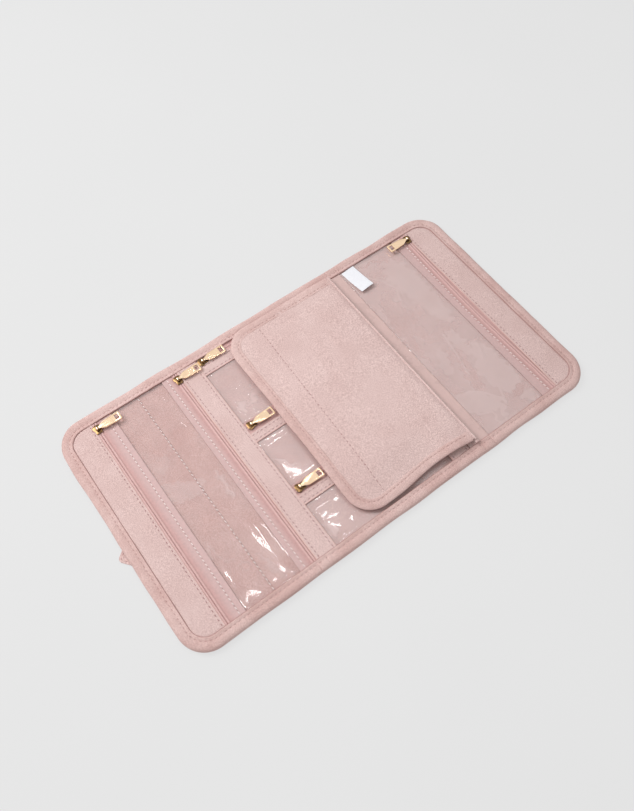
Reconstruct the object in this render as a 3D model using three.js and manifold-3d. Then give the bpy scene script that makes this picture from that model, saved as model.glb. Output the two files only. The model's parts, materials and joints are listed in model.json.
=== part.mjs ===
// Jewelry sleeve: a soft tri-fold case with zipped clear pockets, opened flat.
// Millimetres. X runs along the opened length, Y from front to back, Z up; the case lies on z = 0.

import * as THREE from 'three';
import { mergeVertices } from 'three/addons/utils/BufferGeometryUtils.js';
import Module from 'manifold-3d';

const wasm = await Module();
wasm.setup();

// Lengths of the five sections, from the left end to the right end, and the width that they share
const LEFT_PANEL_LENGTH = 126.4;
const LEFT_SPINE_LENGTH = 16.2;
const CENTRE_LENGTH = 157.9;
const RIGHT_SPINE_LENGTH = 11.5;
const RIGHT_PANEL_LENGTH = 118;
const CASE_WIDTH = 240;
const CORNER_RADIUS = 26;

// Thickness of each layer, from the table up
const COVER_RISE = 1.4;
const COVER_THICK = 0.7;
const PADDING_THICK = 1.5;
const POCKET_DEPTH = 0.65;
const VINYL_THICK = 0.55;
const TAPE_THICK = 0.5;
const SUEDE_THICK = 0.6;
const LAYER_GAP = 0.1;

// Binding round every edge: a folded tape with a groove that holds the layers
const BINDING_WIDTH = 11;
const BINDING_WALL = 0.9;
const BINDING_ROUND = 1.6;
const BINDING_STAND = 0.4;

// Clearances
const SEAM_GAP = 0.3;
const CREASE_GAP = 0.3;
const AXIS_RISE = 0.1;

// Zips: the slot between the two tapes, the raised lip beside it, and the distance of each from a section's edge
const ZIP_SLOT = 1.2;
const LIP_WIDTH = 1;
const LIP_HEIGHT = 0.6;
const LEFT_OUTER_ZIP_INSET = 37.6;
const LEFT_INNER_ZIP_INSET = 5.1;
const RIGHT_ZIP_INSET = 38.1;
const POCKET_ZIP_A_INSET = 15.6;
const POCKET_ZIP_B_Y = 23.6;
const POCKET_ZIP_C_Y = -49.9;
const WIDE_TAPE = 17;
const MIDDLE_TAPE = 13.5;
const POCKET_TAPE = 11;
const POCKET_TAPE_BACK = 5.9;
const TAPE_LAP = 5.5;

// Suede strips across the pockets and along the folds
const POCKET_STRIP_WIDTH = 10.3;
const POCKET_STRIP_WIDTH_A = 12.6;
const POCKET_STRIP_GAP_A = 2;
const POCKET_STRIP_GAP_B = 6.6;
const POCKET_STRIP_GAP_C = 5;
const FOLD_STRIP_WIDTH = 19.3;
const FOLD_STRIP_INSET = 11;
const END_STRIP_GAP = 2;

// Slider and pull
const SLIDER_LENGTH = 9;
const SLIDER_WIDTH = 8.2;
const SLIDER_TAIL_WIDTH = 6;
const SLIDER_NOSE_WIDTH = 4.1;
const SLIDER_TAIL_LENGTH = 3.4;
const SLIDER_SHOULDER_LENGTH = 1.65;
const SLIDER_NOSE_LENGTH = 1.35;
const SLIDER_LOWER_THICK = 0.9;
const SLIDER_UPPER_THICK = 0.7;
const SLIDER_CLEARANCE = 0.2;
const NECK_WIDTH = 0.65;
const NECK_LENGTH = 2.6;
const SLIDER_HOME_INSET = 7.8;
const POCKET_SLIDER_INSET = 7.3;
const LUG_THICK = 0.8;
const LUG_TOP_RADIUS = 1.05;
const PIN_RADIUS = 0.45;
const RING_INNER = 0.8;
const RING_OUTER = 1.4;
const RING_WIDTH = 2.4;
const PULL_LENGTH = 23.4;
const PULL_WIDTH = 8.6;
const PULL_THICK = 1.1;
const PULL_CORNER = 0.9;
const PULL_NECK_START = 2.4;
const PULL_NECK_LENGTH = 4.6;
const PULL_NECK_WIDTH = 4.8;
const PULL_SHOULDER = 7.2;
const PULL_SHOULDER_WIDTH = 7.4;
const RING_STEPS = 17;
const RING_HOLE_STEPS = 11;
const WINDOW_LENGTH = 3.8;
const WINDOW_WIDTH = 5.4;
const WINDOW_INSET = 1.6;

// Flap over the pockets
const FLAP_LENGTH = 123.2;
const FLAP_WIDTH = 217;
const FLAP_SHIFT_Y = 1.3;
const FLAP_THICK = 2.4;
const FLAP_LAYER = 0.8;
const FLAP_CORNER_RADIUS = 24;
const FLAP_BINDING_WIDTH = 9.5;
const FLAP_BINDING_WALL = 0.3;
const FLAP_BINDING_ROUND = 0.24;
const ROLL_LAP = 0.2;
const ROLL_STEPS = 8;
const FLAP_CLEARANCE = 0.45;
const FLAP_AXIS_INSET = 3;
const ROOT_FOOT_WIDTH = 10.1;
const ROOT_WALL_WIDTH = 4.4;
const ROOT_BEVEL = 1;

// Label sewn in at the back edge of the right panel
const LABEL_WIDTH = 15;
const LABEL_LENGTH = 30;
const LABEL_THICK = 0.3;
const LABEL_CURL = 2.2;
const LABEL_TURN = 0.085;
const LABEL_INSET = 1.4;
const LABEL_STEPS = 8;

// Closure strap, turned under the left panel so that one corner shows
const STRAP_LENGTH = 66;
const STRAP_WIDTH = 22;
const STRAP_THICK = 1.05;
const STRAP_CORNER = 4;
const STRAP_TURN = 0.66;
const STRAP_OVERHANG = 6.3;
const STRAP_CORNER_Y = -11.5;
const STRAP_SEWN_LENGTH = 16;
const STRAP_RISE = 0.05;

const ARC_STEPS = 10;
const SMALL_ARC_STEPS = 3;
const ROUND_ARC_STEPS = 6;

// Places worked out from the sizes above
const caseLength = LEFT_PANEL_LENGTH + LEFT_SPINE_LENGTH + CENTRE_LENGTH + RIGHT_SPINE_LENGTH + RIGHT_PANEL_LENGTH;
const leftEnd = -caseLength / 2;
const leftPanelCrease = leftEnd + LEFT_PANEL_LENGTH;
const leftCentreCrease = leftPanelCrease + LEFT_SPINE_LENGTH;
const rightCentreCrease = leftCentreCrease + CENTRE_LENGTH;
const rightPanelCrease = rightCentreCrease + RIGHT_SPINE_LENGTH;
const rightEnd = rightPanelCrease + RIGHT_PANEL_LENGTH;
const halfWidth = CASE_WIDTH / 2;
const halfCrease = CREASE_GAP / 2;

const coverTop = COVER_RISE + COVER_THICK;
const paddingBottom = coverTop + LAYER_GAP;
const paddingTop = paddingBottom + PADDING_THICK;
const vinylBottom = paddingTop + POCKET_DEPTH;
const vinylTop = vinylBottom + VINYL_THICK;
const tapeBottom = vinylTop + LAYER_GAP;
const tapeTop = tapeBottom + TAPE_THICK;
const suedeBottom = tapeTop + LAYER_GAP;
const suedeTop = suedeBottom + SUEDE_THICK;
const bindingTop = suedeTop + BINDING_STAND;
const grooveBottom = COVER_RISE - SEAM_GAP;
const grooveTop = bindingTop - BINDING_WALL;
const foldAxisZ = bindingTop + AXIS_RISE;

const layerHalfWidth = halfWidth - BINDING_WALL - SEAM_GAP;
const innerHalfWidth = halfWidth - BINDING_WIDTH - SEAM_GAP;
const lowerPlateTop = tapeBottom - SLIDER_CLEARANCE;
const upperPlateBottom = suedeTop + SLIDER_CLEARANCE;
const upperPlateTop = upperPlateBottom + SLIDER_UPPER_THICK;
const pinZ = upperPlateTop + LAYER_GAP + RING_OUTER;
const flapBottom = pinZ + RING_OUTER + FLAP_CLEARANCE;
const flapTop = flapBottom + FLAP_THICK;
const flapAxisX = rightCentreCrease - FLAP_AXIS_INSET;
const flapAxisZ = (flapBottom + flapTop) / 2;
const sliderGap = SLIDER_WIDTH / 2 + SEAM_GAP;
const pocketZipAY = halfWidth - POCKET_ZIP_A_INSET;

// Materials, in the colours of the photographed case
function material(color, roughness, metalness = 0) {
  return new THREE.MeshStandardMaterial({ color, roughness, metalness });
}
const suede = () => material(0xdcbcb6, 0.95);
const piping = () => material(0xd9b6b0, 0.9);
const lining = () => material(0xcfa8a3, 0.9);
const vinyl = () => {
  const clear = material(0xd8bdb9, 0.15);
  clear.transparent = true;
  clear.opacity = 0.5;
  return clear;
};
const tape = () => material(0xc98f92, 0.8);
const gold = () => material(0xf0d6a8, 0.3, 1);
const white = () => material(0xf4f2f0, 0.8);

// Solids and geometries, one turned into the other
function toSolid(geometry) {
  const bare = geometry.clone();
  bare.deleteAttribute('normal');
  bare.deleteAttribute('uv');
  const merged = mergeVertices(bare, 1e-4);
  return new wasm.Manifold(
    new wasm.Mesh({
      numProp: 3,
      vertProperties: new Float32Array(merged.attributes.position.array),
      triVerts: new Uint32Array(merged.index.array),
    })
  );
}

function toGeometry(solid) {
  const mesh = solid.getMesh();
  const geometry = new THREE.BufferGeometry();
  geometry.setAttribute('position', new THREE.BufferAttribute(mesh.vertProperties, 3));
  geometry.setIndex(new THREE.BufferAttribute(mesh.triVerts, 1));
  geometry.computeVertexNormals();
  return geometry;
}

// Quarter arc of points about a centre, from one angle to another
function arc(cx, cy, radius, from, to, steps = ARC_STEPS) {
  const points = [];
  for (let i = 0; i <= steps; i++) {
    const angle = from + ((to - from) * i) / steps;
    points.push(new THREE.Vector2(cx + radius * Math.cos(angle), cy + radius * Math.sin(angle)));
  }
  return points;
}

// Full circle of points about the origin, one more than the steps, its last one short of the first
function circle(radius, steps) {
  return arc(0, 0, radius, 0, (2 * Math.PI * steps) / (steps + 1), steps);
}

// Panel outline: square where it meets the fold, rounded at its outer end
function panelOutline(foldX, outerX, front, back, radius) {
  const side = Math.sign(outerX - foldX);
  const turnX = outerX - side * radius;
  const outward = side > 0 ? 0 : Math.PI;
  const quarter = side * Math.PI / 2;
  return new THREE.Shape([
    new THREE.Vector2(foldX, front),
    ...arc(turnX, front + radius, radius, outward - quarter, outward),
    ...arc(turnX, back - radius, radius, outward, outward + quarter),
    new THREE.Vector2(foldX, back),
  ]);
}

function rectangle(x0, x1, y0, y1) {
  return new THREE.Shape([
    new THREE.Vector2(x0, y0),
    new THREE.Vector2(x1, y0),
    new THREE.Vector2(x1, y1),
    new THREE.Vector2(x0, y1),
  ]);
}

// Flat sheet with the given outline, between two heights
function sheet(outline, bottom, top) {
  const geometry = new THREE.ExtrudeGeometry(outline, { depth: top - bottom, bevelEnabled: false });
  return geometry.translate(0, 0, bottom);
}

// The same with its upper and lower rims rounded
function roundedSheet(outline, bottom, top, round) {
  const geometry = new THREE.ExtrudeGeometry(outline, {
    depth: top - bottom - 2 * round,
    bevelThickness: round,
    bevelSize: round,
    bevelOffset: -round,
    bevelSegments: SMALL_ARC_STEPS,
  });
  return geometry.translate(0, 0, bottom + round);
}

function block(x0, x1, y0, y1, z0, z1) {
  return sheet(rectangle(x0, x1, y0, y1), z0, z1);
}

// Section drawn in Y and Z, swept along X
function sweepX(section, x0, x1) {
  const geometry = new THREE.ExtrudeGeometry(section, { depth: x1 - x0, bevelEnabled: false });
  const turn = new THREE.Matrix4().makeBasis(
    new THREE.Vector3(0, 1, 0),
    new THREE.Vector3(0, 0, 1),
    new THREE.Vector3(1, 0, 0)
  );
  return geometry.applyMatrix4(turn).translate(x0, 0, 0);
}

// Section drawn in X and Z, swept along Y
function sweepY(section, y0, y1) {
  const geometry = new THREE.ExtrudeGeometry(section, { depth: y1 - y0, bevelEnabled: false });
  return geometry.rotateX(Math.PI / 2).translate(0, y1, 0);
}

// The whole case, with each piece added by name
const sleeve = new THREE.Group();

function add(name, geometry, finish) {
  const mesh = new THREE.Mesh(geometry, finish);
  mesh.name = name;
  sleeve.add(mesh);
  return mesh;
}

// U-shaped binding round three sides of a panel, with its groove
function boundEdge({ foldX, outerX, front, back, radius, width, wall, bottom, top, grooveLow, grooveHigh, round }) {
  const side = Math.sign(outerX - foldX);
  const past = foldX - side * width;
  const inset = (by) => panelOutline(past, outerX - side * by, front + by, back - by, radius - by);
  const inner = toSolid(sheet(inset(width), bottom - wall, top + wall));
  const groove = toSolid(sheet(inset(wall), grooveLow, grooveHigh));
  const ends = [Math.min(foldX, outerX + side * wall), Math.max(foldX, outerX + side * wall)];
  const kept = toSolid(block(...ends, front - wall, back + wall, bottom - wall, top + wall));
  return toSolid(roundedSheet(inset(0), bottom, top, round)).intersect(kept).subtract(inner).subtract(groove);
}

// Straight length of the same binding: +1 at the back edge, -1 at the front edge
function straightBinding(x0, x1, side) {
  const outer = side * halfWidth;
  const turn = outer - side * BINDING_ROUND;
  const inner = side * (halfWidth - BINDING_WIDTH);
  const wall = side * (halfWidth - BINDING_WALL);
  const outward = side > 0 ? 0 : Math.PI;
  const quarter = side * Math.PI / 2;
  const section = new THREE.Shape([
    new THREE.Vector2(inner, 0),
    ...arc(turn, BINDING_ROUND, BINDING_ROUND, outward - quarter, outward, SMALL_ARC_STEPS),
    ...arc(turn, bindingTop - BINDING_ROUND, BINDING_ROUND, outward, outward + quarter, SMALL_ARC_STEPS),
    new THREE.Vector2(inner, bindingTop),
    new THREE.Vector2(inner, grooveTop),
    new THREE.Vector2(wall, grooveTop),
    new THREE.Vector2(wall, grooveBottom),
    new THREE.Vector2(inner, grooveBottom),
  ]);
  return sweepX(section, x0, x1);
}

function bindingPair(name, x0, x1) {
  add(`${name}_binding_front`, straightBinding(x0, x1, -1), piping());
  add(`${name}_binding_back`, straightBinding(x0, x1, 1), piping());
}

// Outer cover and padding of a section that ends in rounded corners
function panelLayers(name, foldX, outerX) {
  const side = Math.sign(outerX - foldX);
  const layer = (by) =>
    panelOutline(foldX, outerX - side * by, -halfWidth + by, halfWidth - by, CORNER_RADIUS - by);
  const coverInset = BINDING_WALL + SEAM_GAP;
  add(`${name}_cover`, sheet(layer(coverInset), COVER_RISE, coverTop), suede());
  add(`${name}_padding`, sheet(layer(coverInset + LAYER_GAP), paddingBottom, paddingTop), lining());
}

function panelBinding(foldX, outerX) {
  return boundEdge({
    foldX,
    outerX,
    front: -halfWidth,
    back: halfWidth,
    radius: CORNER_RADIUS,
    width: BINDING_WIDTH,
    wall: BINDING_WALL,
    bottom: 0,
    top: bindingTop,
    grooveLow: grooveBottom,
    grooveHigh: grooveTop,
    round: BINDING_ROUND,
  });
}

// Suede strip that fills a panel's outer end, inside the binding
function endStrip(name, zipX, outerX) {
  const side = Math.sign(outerX - zipX);
  const by = BINDING_WIDTH + SEAM_GAP;
  const outline = panelOutline(
    zipX + side * END_STRIP_GAP,
    outerX - side * by,
    -innerHalfWidth,
    innerHalfWidth,
    CORNER_RADIUS - by
  );
  add(name, sheet(outline, suedeBottom, suedeTop), suede());
}

// Half of a zip: a flat tape, and a rounded lip beside the slot where no strip or binding covers it.
// It reaches away from the slot towards side.
function stringer({ sweep, at, side, width, from, to, lipFrom, lipTo }) {
  const edge = at + (side * ZIP_SLOT) / 2;
  const lipEnd = edge + side * LIP_WIDTH;
  const middle = (edge + lipEnd) / 2;
  const outer = at + side * width;
  const flat = sweep(rectangle(Math.min(edge, outer), Math.max(edge, outer), tapeBottom, tapeTop), from, to);
  const lipSection = new THREE.Shape([
    new THREE.Vector2(middle - LIP_WIDTH / 2, tapeTop - TAPE_THICK / 2),
    new THREE.Vector2(middle + LIP_WIDTH / 2, tapeTop - TAPE_THICK / 2),
    ...arc(0, 0, 1, 0, Math.PI, ROUND_ARC_STEPS).map(
      (p) => new THREE.Vector2(middle + (LIP_WIDTH / 2) * p.x, tapeTop + LIP_HEIGHT * p.y)
    ),
  ]);
  const lip = sweep(lipSection, lipFrom, lipTo);
  return toGeometry(toSolid(flat).add(toSolid(lip)));
}

// Slider plate, wide at its shoulders and narrower at its tail
function sliderPlate(bottom, top) {
  const half = SLIDER_LENGTH / 2;
  const shoulder = SLIDER_WIDTH / 2;
  const tail = SLIDER_TAIL_WIDTH / 2;
  const nose = SLIDER_NOSE_WIDTH / 2;
  const waist = -half + SLIDER_TAIL_LENGTH;
  const shoulderEnd = half - SLIDER_NOSE_LENGTH;
  const shoulderStart = shoulderEnd - SLIDER_SHOULDER_LENGTH;
  const outline = new THREE.Shape([
    new THREE.Vector2(-half, -tail),
    new THREE.Vector2(waist, -tail),
    new THREE.Vector2(shoulderStart, -shoulder),
    new THREE.Vector2(shoulderEnd, -shoulder),
    new THREE.Vector2(half, -nose),
    new THREE.Vector2(half, nose),
    new THREE.Vector2(shoulderEnd, shoulder),
    new THREE.Vector2(shoulderStart, shoulder),
    new THREE.Vector2(waist, tail),
    new THREE.Vector2(-half, tail),
  ]);
  return sheet(outline, bottom, top);
}

// Lug that holds one end of the slider's pin
function lug(y0, y1) {
  const foot = RING_OUTER - LAYER_GAP;
  const section = new THREE.Shape([
    new THREE.Vector2(-foot, upperPlateTop - SLIDER_UPPER_THICK / 2),
    ...arc(0, pinZ, LUG_TOP_RADIUS, 0, Math.PI, ROUND_ARC_STEPS).reverse(),
    new THREE.Vector2(foot, upperPlateTop - SLIDER_UPPER_THICK / 2),
  ]);
  return sweepY(section, y0, y1);
}

// Slider: two plates held by a neck, and a cross pin in two lugs. The plates point along the zip.
function sliderSolid(heading) {
  const along = (geometry) => geometry.rotateZ(heading);
  const neckEnd = SLIDER_LENGTH / 2 - SLIDER_NOSE_LENGTH;
  const lower = along(sliderPlate(lowerPlateTop - SLIDER_LOWER_THICK, lowerPlateTop));
  const upper = along(sliderPlate(upperPlateBottom, upperPlateTop));
  const neck = along(
    block(
      neckEnd - NECK_LENGTH,
      neckEnd,
      -NECK_WIDTH / 2,
      NECK_WIDTH / 2,
      lowerPlateTop - SLIDER_LOWER_THICK / 2,
      upperPlateTop - SLIDER_UPPER_THICK / 2
    )
  );
  const lugInner = RING_WIDTH / 2 + SEAM_GAP;
  const lugOuter = lugInner + LUG_THICK;
  const pin = new THREE.CylinderGeometry(PIN_RADIUS, PIN_RADIUS, 2 * lugInner + LUG_THICK, ARC_STEPS);
  pin.translate(0, 0, pinZ);
  return [upper, neck, lug(lugInner, lugOuter), lug(-lugOuter, -lugInner), pin].reduce(
    (solid, piece) => solid.add(toSolid(piece)),
    toSolid(lower)
  );
}

// Pull: a ring on the pin, a short flaring neck and a flat plate with a window across its free end
function pullSolid(direction) {
  const ring = new THREE.Shape(circle(RING_OUTER, RING_STEPS));
  ring.holes.push(new THREE.Path(circle(RING_INNER, RING_HOLE_STEPS)));
  const loop = sweepY(ring, -RING_WIDTH / 2, RING_WIDTH / 2).translate(0, 0, pinZ);
  const wide = PULL_WIDTH / 2;
  const shoulder = PULL_SHOULDER_WIDTH / 2;
  const neck = PULL_NECK_WIDTH / 2;
  const ringMiddle = (RING_OUTER + RING_INNER) / 2;
  const end = PULL_LENGTH - PULL_CORNER;
  const plate = new THREE.Shape([
    new THREE.Vector2(ringMiddle, -RING_WIDTH / 2),
    new THREE.Vector2(PULL_NECK_START, -RING_WIDTH / 2),
    new THREE.Vector2(PULL_NECK_LENGTH, -neck),
    new THREE.Vector2(PULL_SHOULDER, -shoulder),
    ...arc(end, -wide + PULL_CORNER, PULL_CORNER, -Math.PI / 2, 0, SMALL_ARC_STEPS),
    ...arc(end, wide - PULL_CORNER, PULL_CORNER, 0, Math.PI / 2, SMALL_ARC_STEPS),
    new THREE.Vector2(PULL_SHOULDER, shoulder),
    new THREE.Vector2(PULL_NECK_LENGTH, neck),
    new THREE.Vector2(PULL_NECK_START, RING_WIDTH / 2),
    new THREE.Vector2(ringMiddle, RING_WIDTH / 2),
  ]);
  const windowEnd = PULL_LENGTH - WINDOW_INSET;
  const windowPath = new THREE.Path(
    rectangle(windowEnd - WINDOW_LENGTH, windowEnd, -WINDOW_WIDTH / 2, WINDOW_WIDTH / 2).getPoints()
  );
  plate.holes.push(windowPath);
  const flat = sheet(plate, pinZ - PULL_THICK / 2, pinZ + PULL_THICK / 2);
  const solid = toSolid(loop).add(toSolid(flat));
  const geometry = toGeometry(solid);
  return direction > 0 ? geometry : geometry.rotateZ(Math.PI);
}

// One zip with its two tapes, slider and pull.
// heading is the axis that it runs along; minus and plus name the tapes and give their reach.
function zip({ name, number, heading, at, from, to, lipFrom, lipTo, minus, plus, sliderAt, pull }) {
  const sweep = heading === 'x' ? sweepX : sweepY;
  const run = { sweep, at, from, to, lipFrom, lipTo };
  add(`${name}_tape_${minus.side}`, stringer({ ...run, side: -1, width: minus.width }), tape());
  add(`${name}_tape_${plus.side}`, stringer({ ...run, side: 1, width: plus.width }), tape());
  const place = heading === 'x' ? [sliderAt, at, 0] : [at, sliderAt, 0];
  const turn = heading === 'x' ? Math.PI : Math.PI / 2;
  add(`slider_${number}`, toGeometry(sliderSolid(turn)).translate(...place), gold());
  add(`pull_${number}`, pullSolid(pull).translate(...place), gold());
}

// A zip that runs from the front binding to the back binding, its ends held in their grooves
function longZip(options) {
  zip({
    heading: 'y',
    from: -layerHalfWidth,
    to: layerHalfWidth,
    lipFrom: -innerHalfWidth,
    lipTo: innerHalfWidth,
    sliderAt: halfWidth - BINDING_WIDTH - SLIDER_HOME_INSET,
    ...options,
  });
}

// Left panel: a wide clear pocket in two halves between two zips
const leftOuterZipX = leftEnd + LEFT_OUTER_ZIP_INSET;
const leftInnerZipX = leftPanelCrease - LEFT_INNER_ZIP_INSET;
const strapCornerCut = STRAP_CORNER * (1 - Math.SQRT1_2);

function leftPanel() {
  const foldX = leftPanelCrease - halfCrease;
  panelLayers('left', foldX, leftEnd);
  const crossing = STRAP_OVERHANG + BINDING_WIDTH + SEAM_GAP;
  const edgeOut = strapCornerCut / Math.cos(STRAP_TURN);
  const strapPath = block(
    leftEnd - BINDING_WALL,
    leftEnd + BINDING_WIDTH + SEAM_GAP,
    STRAP_CORNER_Y - STRAP_WIDTH,
    STRAP_CORNER_Y + crossing * Math.tan(STRAP_TURN) + edgeOut + SEAM_GAP,
    -BINDING_WALL,
    COVER_RISE
  );
  const binding = panelBinding(foldX, leftEnd).subtract(toSolid(strapPath));
  add('left_binding', toGeometry(binding), piping());
  endStrip('left_end_strip', leftOuterZipX, leftEnd);
  add(
    'left_window',
    block(
      leftOuterZipX + WIDE_TAPE - TAPE_LAP,
      leftInnerZipX - MIDDLE_TAPE + TAPE_LAP,
      -layerHalfWidth,
      layerHalfWidth,
      vinylBottom,
      vinylTop
    ),
    vinyl()
  );
  longZip({
    name: 'left_outer_zip',
    number: 1,
    at: leftOuterZipX,
    minus: { side: 'left', width: MIDDLE_TAPE },
    plus: { side: 'right', width: WIDE_TAPE },
    pull: 1,
  });
  longZip({
    name: 'left_inner_zip',
    number: 2,
    at: leftInnerZipX,
    minus: { side: 'left', width: MIDDLE_TAPE },
    plus: { side: 'right', width: LEFT_INNER_ZIP_INSET - halfCrease },
    pull: 1,
  });
}

// A spine between two folds: padded core, suede strip and two short bindings
function spine(name, x0, x1) {
  const from = x0 + halfCrease;
  const to = x1 - halfCrease;
  add(`${name}_core`, block(from, to, -layerHalfWidth, layerHalfWidth, COVER_RISE, tapeTop), lining());
  add(`${name}_strip`, block(from, to, -innerHalfWidth, innerHalfWidth, suedeBottom, suedeTop), suede());
  bindingPair(name, from, to);
}

// Centre: three small clear pockets, one behind the other, and the flap's sewn root
const foldStripEnd = rightCentreCrease - FOLD_STRIP_INSET;
const foldStripStart = foldStripEnd - FOLD_STRIP_WIDTH;
const pocketSliderX = leftCentreCrease + POCKET_SLIDER_INSET;

function pocketStrip(name, zipY, gap, width) {
  const back = zipY - gap;
  add(
    name,
    block(leftCentreCrease + halfCrease, foldStripStart - SEAM_GAP, back - width, back, suedeBottom, suedeTop),
    suede()
  );
}

function centre() {
  const from = leftCentreCrease + halfCrease;
  const to = rightCentreCrease - halfCrease;
  add('centre_cover', block(from, to, -layerHalfWidth, layerHalfWidth, COVER_RISE, coverTop), suede());
  add('centre_padding', block(from, to, -layerHalfWidth, layerHalfWidth, paddingBottom, paddingTop), lining());
  bindingPair('centre', from, to);
  const layersEnd = foldStripEnd - SEAM_GAP;
  const pocketZips = [
    { letter: 'a', number: 3, at: pocketZipAY, back: layerHalfWidth - pocketZipAY },
    { letter: 'b', number: 4, at: POCKET_ZIP_B_Y, back: POCKET_TAPE_BACK },
    { letter: 'c', number: 5, at: POCKET_ZIP_C_Y, back: POCKET_TAPE_BACK },
  ];
  pocketZips.forEach(({ letter, number, at, back }, index) => {
    zip({
      name: `pocket_${letter}_zip`,
      number,
      heading: 'x',
      at,
      from,
      to: layersEnd,
      lipFrom: from,
      lipTo: foldStripStart - SEAM_GAP,
      minus: { side: 'front', width: POCKET_TAPE },
      plus: { side: 'back', width: back },
      sliderAt: pocketSliderX,
      pull: 1,
    });
    const next = pocketZips[index + 1];
    const front = next ? next.at + sliderGap : -layerHalfWidth;
    add(
      `pocket_${letter}_window`,
      block(from, layersEnd, front, at - sliderGap - LIP_WIDTH, vinylBottom, vinylTop),
      vinyl()
    );
  });
  pocketStrip('pocket_a_strip', pocketZipAY, POCKET_STRIP_GAP_A, POCKET_STRIP_WIDTH_A);
  pocketStrip('pocket_b_strip', POCKET_ZIP_B_Y, POCKET_STRIP_GAP_B, POCKET_STRIP_WIDTH);
  pocketStrip('pocket_c_strip', POCKET_ZIP_C_Y, POCKET_STRIP_GAP_C, POCKET_STRIP_WIDTH);
  add(
    'centre_fold_strip',
    block(foldStripStart, foldStripEnd, -innerHalfWidth, innerHalfWidth, suedeBottom, suedeTop),
    suede()
  );
  const rootEnd = to - halfCrease;
  const wallStart = rootEnd - ROOT_WALL_WIDTH;
  const footStart = rootEnd - ROOT_FOOT_WIDTH;
  const wallTop = flapBottom - SEAM_GAP;
  const foot = paddingTop + LAYER_GAP;
  const rootSection = new THREE.Shape([
    new THREE.Vector2(footStart, foot),
    new THREE.Vector2(rootEnd, foot),
    new THREE.Vector2(rootEnd, wallTop - ROOT_BEVEL),
    new THREE.Vector2(rootEnd - ROOT_BEVEL, wallTop),
    new THREE.Vector2(wallStart + ROOT_BEVEL, wallTop),
    new THREE.Vector2(wallStart, wallTop - ROOT_BEVEL),
    new THREE.Vector2(wallStart, suedeTop),
    new THREE.Vector2(footStart, suedeTop),
  ]);
  add('flap_root', sweepY(rootSection, -innerHalfWidth, innerHalfWidth), suede());
}

// Flap: back layer with the rolled hinge edge, face layer, and a binding on the three free sides
function flap() {
  const freeX = flapAxisX - FLAP_LENGTH;
  const front = FLAP_SHIFT_Y - FLAP_WIDTH / 2;
  const back = FLAP_SHIFT_Y + FLAP_WIDTH / 2;
  const roll = FLAP_THICK / 2;
  const rollStart = flapAxisX - roll;
  const layersEnd = rollStart - SEAM_GAP;
  const by = FLAP_BINDING_WALL + LAYER_GAP;
  const layer = (endX) => panelOutline(endX, freeX + by, front + by, back - by, FLAP_CORNER_RADIUS - by);
  const backBottom = flapBottom + FLAP_BINDING_WALL + LAYER_GAP / 2;
  const backLayer = toSolid(sheet(layer(rollStart + ROLL_LAP), backBottom, backBottom + FLAP_LAYER));
  const rollSection = new THREE.Shape([
    new THREE.Vector2(rollStart, flapBottom),
    ...arc(flapAxisX, flapAxisZ, roll, -Math.PI / 2, Math.PI / 2, ROLL_STEPS),
    new THREE.Vector2(rollStart, flapTop),
  ]);
  const rolled = toSolid(sweepY(rollSection, front, back));
  add('flap_back', toGeometry(backLayer.add(rolled)), suede());
  const faceTop = flapTop - FLAP_BINDING_WALL - LAYER_GAP / 2;
  add('flap_face', sheet(layer(layersEnd), faceTop - FLAP_LAYER, faceTop), suede());
  const binding = boundEdge({
    foldX: layersEnd,
    outerX: freeX,
    front,
    back,
    radius: FLAP_CORNER_RADIUS,
    width: FLAP_BINDING_WIDTH,
    wall: FLAP_BINDING_WALL,
    bottom: flapBottom,
    top: flapTop,
    grooveLow: flapBottom + FLAP_BINDING_WALL,
    grooveHigh: flapTop - FLAP_BINDING_WALL,
    round: FLAP_BINDING_ROUND,
  });
  add('flap_binding', toGeometry(binding), piping());
}

// Right panel: one large clear pocket with a zip near the outer end
const rightZipX = rightEnd - RIGHT_ZIP_INSET;

function rightPanel() {
  const foldX = rightPanelCrease + halfCrease;
  panelLayers('right', foldX, rightEnd);
  add('right_binding', toGeometry(panelBinding(foldX, rightEnd)), piping());
  endStrip('right_end_strip', rightZipX, rightEnd);
  add(
    'right_window',
    block(foldX, rightZipX - WIDE_TAPE + TAPE_LAP, -layerHalfWidth, layerHalfWidth, vinylBottom, vinylTop),
    vinyl()
  );
  longZip({
    name: 'right_zip',
    number: 6,
    at: rightZipX,
    minus: { side: 'left', width: WIDE_TAPE },
    plus: { side: 'right', width: MIDDLE_TAPE },
    pull: -1,
  });
  const lift = (t) => tapeTop + LAYER_GAP + LABEL_CURL * t * t;
  const upper = [];
  const lower = [];
  for (let i = 0; i <= LABEL_STEPS; i++) {
    const t = i / LABEL_STEPS;
    lower.push(new THREE.Vector2(-LABEL_LENGTH * t, lift(t)));
    upper.unshift(new THREE.Vector2(-LABEL_LENGTH * t, lift(t) + LABEL_THICK));
  }
  const label = sweepX(new THREE.Shape([...lower, ...upper]), 0, LABEL_WIDTH);
  label.rotateZ(LABEL_TURN).translate(foldX + LABEL_INSET, innerHalfWidth - LABEL_TURN * LABEL_WIDTH, 0);
  add('care_label', label, white());
}

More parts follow.
